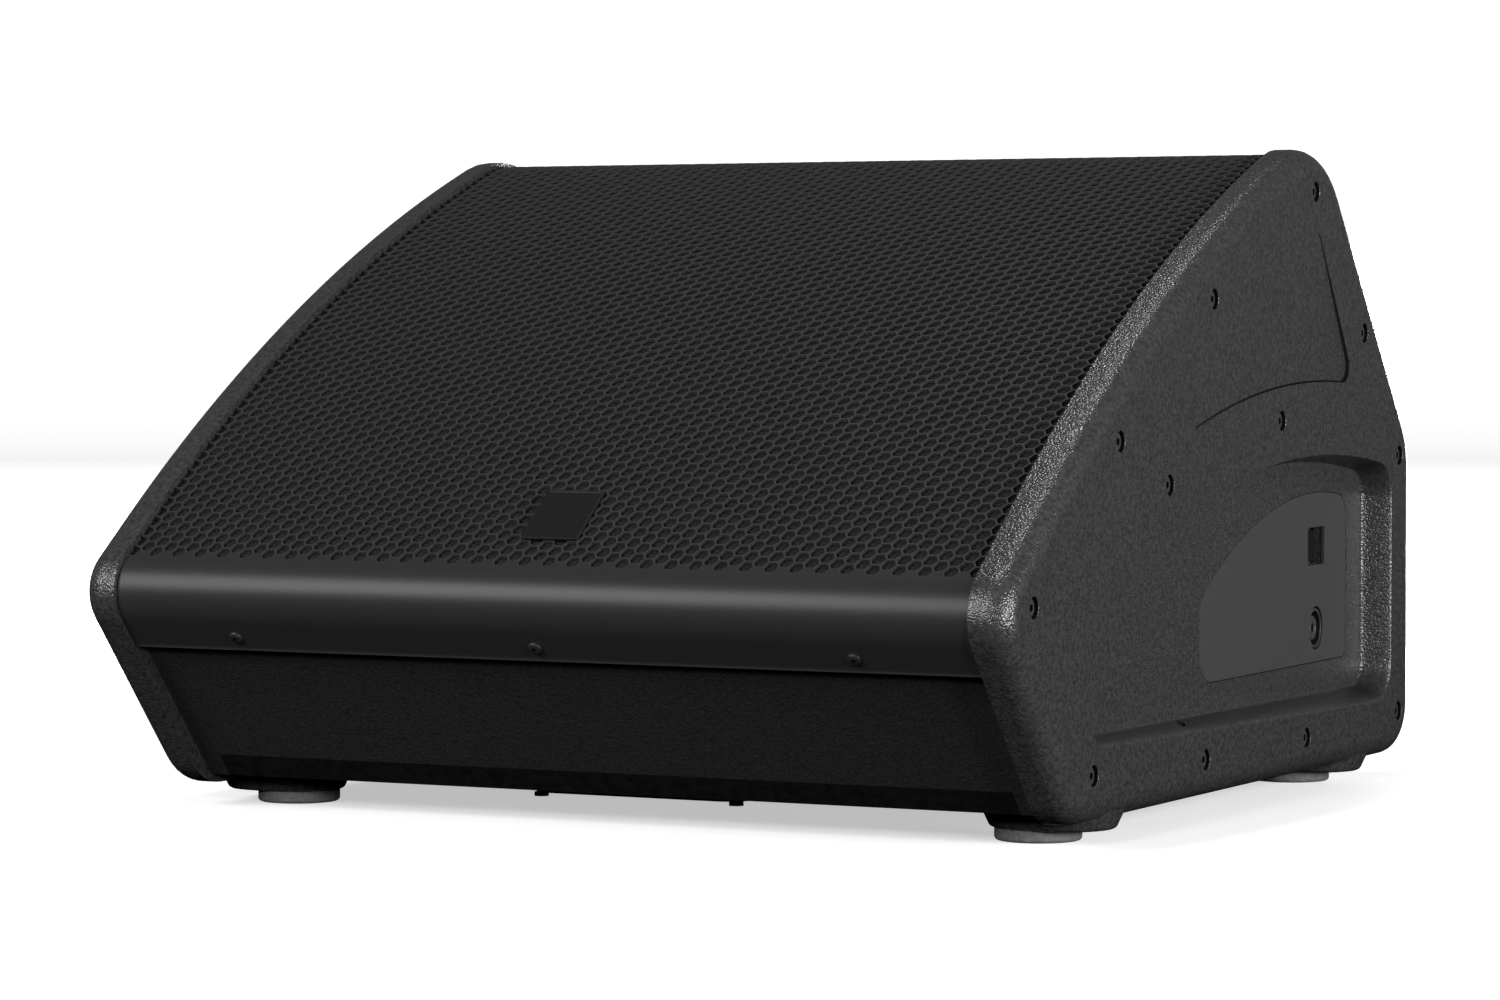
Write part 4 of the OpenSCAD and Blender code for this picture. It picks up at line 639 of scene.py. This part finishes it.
def build_cheek(with_switch):
    """One cheek at the right-hand end, as a closed mesh."""
    bm = bmesh.new()
    # A layer of painted shade per vertex: how far the grain's colour goes towards the darker tone.
    skin = bm.verts.layers.float.new("painted_shade")
    outline, face_edges = cheek_block(bm)
    rings, at = sink_tray(bm, skin)
    face_edges += ring_edges(bm, rings[0])
    bore_drain(bm, skin, rings, at)
    seat_plate(bm, ring_edges(bm, rings[-1]), outline, with_switch)
    face_edges += sink_facet(bm)
    for y, z in screw_spots:
        face_edges += sink_screw(bm, y, z)
    fill(bm, face_edges, (1, 0, 0))
    for y in (-147.0, 211.0):
        add_lug(bm, y)
    return bm


leather = surface("leather_grain", (0.0285, 0.0285, 0.02893), 0.25, 0.45, grain=420, depth=0.0002, fleck=0.4,
                  detail=2)
nodes, links = leather.node_tree.nodes, leather.node_tree.links
shader = nodes["Principled BSDF"]
pebbles = nodes.new("ShaderNodeTexVoronoi")
pebbles.feature = "SMOOTH_F1"
pebbles.inputs["Scale"].default_value = 840
pebbles.inputs["Smoothness"].default_value = 0.2
domes = nodes.new("ShaderNodeBump")
domes.invert = True
domes.inputs["Distance"].default_value = 0.00029
links.new(nodes["Texture Coordinate"].outputs["Object"], pebbles.inputs["Vector"])
links.new(pebbles.outputs["Distance"], domes.inputs["Height"])
links.new(nodes["Bump"].outputs["Normal"], domes.inputs["Normal"])
links.new(domes.outputs["Normal"], shader.inputs["Normal"])
# Painted shade: the cheek's painted-shade layer mixes the grain's colour towards a darker tone on the sill and
# under the arch.
painted_shade = nodes.new("ShaderNodeAttribute")
painted_shade.attribute_name = "painted_shade"
tone = nodes.new("ShaderNodeMix")
tone.data_type = "RGBA"
tone.inputs["B"].default_value = (0.0125, 0.0125, 0.0127, 1)
links.new(painted_shade.outputs["Fac"], tone.inputs["Factor"])
links.new(nodes["Color Ramp"].outputs["Color"], tone.inputs["A"])
links.new(tone.outputs["Result"], shader.inputs["Base Color"])
for side, end in ((1, "right"), (-1, "left")):
    bm = build_cheek(side > 0)
    bmesh.ops.scale(bm, vec=(side, 1, 1), verts=bm.verts)
    cheek = piece(bm, "cheek_moulding_" + end, leather,
                  ["cheek_" + end, "cheek_pan_" + end])
    cheek.data.materials.append(key_shadow)
    even = cheek.modifiers.new("even", "WEIGHTED_NORMAL")
    even.keep_sharp = True

# Cheek screws: twelve button-head socket screws a side, black steel, sunk in the cheek's counterbores and
# driven into the cabinet's side panel.
head_black = surface("head_black", (0.03, 0.03, 0.031), 0.42, 0.4, grain=900, depth=0.00004, fleck=0.15)
for side, end in ((1, "right"), (-1, "left")):
    bm = bmesh.new()
    for y, z in screw_spots:
        button_screw(bm, upright((side * screw_seat, y, z), (side, 0, 0)),
                     radius=4.6, height=3.3, key=2.1, shank=2.4, length=22.0, rim=0.85)
    heads = piece(bm, "cheek_screw_set_" + end, head_black, ["cheek_screws_" + end])
    heads.data.materials.append(key_shadow)

# Connector plates: 2 mm steel with a smooth dark satin paint, lying flush in the tray inside a thin seam. The
# right-hand one has a window for the selector beside the socket's hole.
plate_hole, plate_window = 12.15, (14.5, 10.5)
plate_satin = surface("plate_satin", (0.036, 0.036, 0.03654), 0.45, 0.3, grain=250, depth=0.00002, fleck=0.05)
for side, end in ((1, "right"), (-1, "left")):
    bm = bmesh.new()
    rim = rounded_loop(bm, plate_corners, -plate_trim, endwise)
    ring = bmesh.ops.create_circle(bm, segments=48, radius=plate_hole)["verts"]
    bmesh.ops.transform(bm, matrix=Matrix.Translation((0, socket_y, socket_z)) @ endwise, verts=ring)
    edges = ring_edges(bm, rim) + ring_edges(bm, ring)
    if side > 0:
        ring = rounded_loop(bm, box_corners(socket_y, switch_z, plate_window, 1.0), 0, endwise)
        edges += ring_edges(bm, ring)
    skin = bmesh.ops.triangle_fill(bm, use_beauty=True, edges=edges, normal=(1, 0, 0))["geom"]
    under = bmesh.ops.extrude_face_region(bm, geom=only(BMFace, skin))["geom"]
    bmesh.ops.translate(bm, vec=(-plate_t, 0, 0), verts=only(BMVert, under))
    crest = [e for e in bm.edges if all(abs(v.co.x) < 0.01 for v in e.verts) and len(e.link_faces) == 2
             and e.calc_face_angle(0.0) > math.radians(60)]
    bmesh.ops.bevel(bm, geom=crest, offset=0.35, segments=2, profile=0.5, affect="EDGES", material=-1)
    bmesh.ops.transform(bm, matrix=pan_place, verts=bm.verts)
    bmesh.ops.scale(bm, vec=(side, 1, 1), verts=bm.verts)
    piece(bm, "connector_panel_" + end, plate_satin, ["connector_plate_" + end], sharp=20)

# Sockets: round lockable loudspeaker sockets of glass-filled nylon, screwed behind the tray; a thin barrel
# round a stout core with brass contacts. Profiles are (radius, height over the plate).
nylon = surface("nylon", (0.034, 0.034, 0.03451), 0.42, 0.3, grain=900, depth=0.00003, fleck=0.1)
brass = surface("brass", (0.6, 0.42, 0.16), 0.3, metallic=1.0, grain=600, depth=0.00003, fleck=0.1)
dress(brass, "socket_contacts_left", "socket_contacts_right", "selector_terminals")
barrel = [(9.6, -12.5), (9.6, -1.1), (9.9, -0.7), (10.8, -0.7), (11.1, -1.0), (11.1, -3.0), (12.0, -3.4),
          (12.0, -12.5)]
core = [(2.5, -12.0), (2.5, -2.4), (2.9, -2.0), (4.4, -2.0), (4.6, -2.25), (5.0, -2.25), (5.2, -2.0),
        (6.4, -2.0), (6.8, -2.4), (6.8, -12.0)]
at_socket = pan_place @ Matrix.Translation((0, socket_y, socket_z)) @ endwise
for side, end in ((1, "right"), (-1, "left")):
    for name, node, outline in (("socket_barrel_", "socket_shell_", barrel),
                                ("socket_keyed_core_", "socket_core_", core)):
        bm = bmesh.new()
        spin_profile(bm, outline, 48, closed=True)
        # Faces below the mouth take key_shadow: painted shade inside the barrel and round the core.
        mouth = max(z for r, z in outline)
        for face in bm.faces:
            if face.calc_center_median().z < mouth - 0.4:
                face.material_index = 1
        bmesh.ops.transform(bm, matrix=at_socket, verts=bm.verts)
        bmesh.ops.scale(bm, vec=(side, 1, 1), verts=bm.verts)
        made = piece(bm, name + end, nylon, [node + end], sharp=50)
        made.data.materials.append(key_shadow)

# Selector: a slide switch behind the right-hand plate. Its nylon housing is screwed behind the tray, and a
# ribbed slider runs along the window.
slider_size = (5.0, 18.0, 17.0)
slider_sink, slider_mid = 2.3, socket_y - 5.0
rib_count, rib_depth = 13, 0.9
dress(nylon, "selector_housing")
bm = bmesh.new()
bmesh.ops.create_cube(bm, size=1.0)
bmesh.ops.scale(bm, vec=slider_size, verts=bm.verts)
bmesh.ops.translate(bm, vec=(-slider_sink - slider_size[0] / 2, slider_mid, switch_z), verts=bm.verts)
for k in range(1, rib_count):
    place = (0, slider_mid + slider_size[1] * (k / rib_count - 0.5), 0)
    bmesh.ops.bisect_plane(bm, geom=bm.verts[:] + bm.edges[:] + bm.faces[:], plane_co=place, plane_no=(0, 1, 0))
ribs = [f for f in bm.faces if f.normal.x > 0.9]
ribs.sort(key=lambda f: f.calc_center_median().y)
for f in ribs[1::2]:
    grown = bmesh.ops.extrude_discrete_faces(bm, faces=[f])["faces"]
    bmesh.ops.translate(bm, vec=(-rib_depth, 0, 0), verts=grown[0].verts)
bmesh.ops.transform(bm, matrix=pan_place, verts=bm.verts)
slider_black = surface("slider_black", (0.007, 0.007, 0.0071), 0.45, 0.3, grain=900, depth=0.00003, fleck=0.1)
piece(bm, "slider_knob", slider_black, ["selector_slider"], body="selector_slider")

# Feet: four moulded discs of dark rubber under the cheeks' lugs, each held by a zinc-plated screw that is
# sunk in its underside.
rubber = surface("foot_rubber", (0.105, 0.105, 0.10657), 0.65, 0.3, grain=500, depth=0.0001)
dress(rubber, "foot_front_left", "foot_front_right", "foot_rear_left", "foot_rear_right")

# Carrying handle: a moulded cup of black plastic let into the bottom board near the front, with a grip bar
# across it, held by screws through its flange.
cup_plastic = surface("cup_plastic", (0.012, 0.012, 0.0125), 0.5, 0.4, grain=700, depth=0.0001)
dress(cup_plastic, "handle_cup", "handle_bar")

# Studio: a round pale floor that sweeps up into a wall on every side, over a black cloth that stops light
# from below; soft lights in front, a glint from above, a weak light behind, one for the wall, and the camera.
floor_r, sweep_r, wall_top = 6.5, 1.5, 6.0
cloth_half, cloth_z = 3.0, -0.004


def stage_prop(bm, name, material):
    """A thing of the studio's, not of the object's."""
    mesh = bpy.data.meshes.new(name)
    bm.to_mesh(mesh)
    bm.free()
    mesh.materials.append(material)
    prop = bpy.data.objects.new(name, mesh)
    scene.collection.objects.link(prop)
    return prop


bm = bmesh.new()
bend = [math.radians(t) for t in range(10, 91, 10)]
sweep = [(0.0, 0.0), (floor_r, 0.0)]
sweep += [(floor_r + sweep_r * math.sin(t), sweep_r - sweep_r * math.cos(t)) for t in bend]
sweep += [(floor_r + sweep_r, wall_top)]
spin_profile(bm, sweep, 96)
bmesh.ops.remove_doubles(bm, verts=bm.verts, dist=0.0001)
bmesh.ops.recalc_face_normals(bm, faces=bm.faces)
for face in bm.faces:
    face.smooth = True
floor_paper = surface("floor_paper", (0.8, 0.8, 0.8), 0.95, 0.05, grain=40, depth=0.00001, fleck=0.005)
floor_paper.node_tree.nodes["Principled BSDF"].inputs["Emission Strength"].default_value = 0.5
floor_paper.node_tree.nodes["Principled BSDF"].inputs["Emission Color"].default_value = (1, 1, 1, 1)
floor = stage_prop(bm, "floor", floor_paper)
floor.visible_diffuse = False
floor.visible_glossy = False
bm = bmesh.new()
bmesh.ops.create_grid(bm, x_segments=1, y_segments=1, size=cloth_half)
bmesh.ops.translate(bm, vec=(0, 0, cloth_z), verts=bm.verts)
black_cloth = surface("black_cloth", (0.002, 0.002, 0.002), 1.0, 0.0, grain=40, depth=0.00001, fleck=0.0)
floor_cloth = stage_prop(bm, "floor_cloth", black_cloth)
floor_cloth.visible_camera = False
floor_cloth.visible_shadow = False

scene.view_settings.view_transform = "Standard"
world = bpy.data.worlds.new("studio")
world.use_nodes = True
world.node_tree.nodes["Background"].inputs["Color"].default_value = (1, 1, 1, 1)
world.node_tree.nodes["Background"].inputs["Strength"].default_value = 0.1
scene.world = world

heart = Vector((0, 0, 0.18))
wall_spot = Vector((-3.3, 6.4, 0.5))
for name, azimuth, elevation, distance, size, power in (
        ("right_key", 82.0, 8.0, 3.0, 1.0, 98.0),
        ("front_key", 6.0, 13.0, 2.6, 0.25, 19.0),
        ("low_key", 56.0, 6.0, 3.0, 0.35, 30.0),
        ("left_key", -30.0, 22.0, 2.6, 1.2, 54.0),
        ("top_glint", 186.0, 79.0, 2.4, 0.15, 16.0),
        ("rear_fill", 180.0, 1.0, 1.3, 0.3, 8.0),
        ("backdrop", 207.0, 60.0, 2.4, 1.5, 300.0)):
    lamp = bpy.data.lights.new(name, "AREA")
    lamp.size = size
    lamp.energy = power
    light = bpy.data.objects.new(name, lamp)
    a, e = math.radians(azimuth), math.radians(elevation)
    back = Vector((math.sin(a) * math.cos(e), -math.cos(a) * math.cos(e), math.sin(e)))
    light.location = heart + back * distance
    aim = wall_spot - light.location if name == "backdrop" else -back
    light.rotation_euler = aim.to_track_quat("-Z", "Y").to_euler()
    light.visible_camera = False
    scene.collection.objects.link(light)

lens = bpy.data.cameras.new("camera")
lens.lens = 116.35
lens.sensor_width = 36.0
camera = bpy.data.objects.new("camera", lens)
camera.location = (1.1989, -2.3891, 0.2633)
camera.rotation_euler = (math.radians(90 - 2.15), 0, math.radians(27))
scene.collection.objects.link(camera)
scene.camera = camera
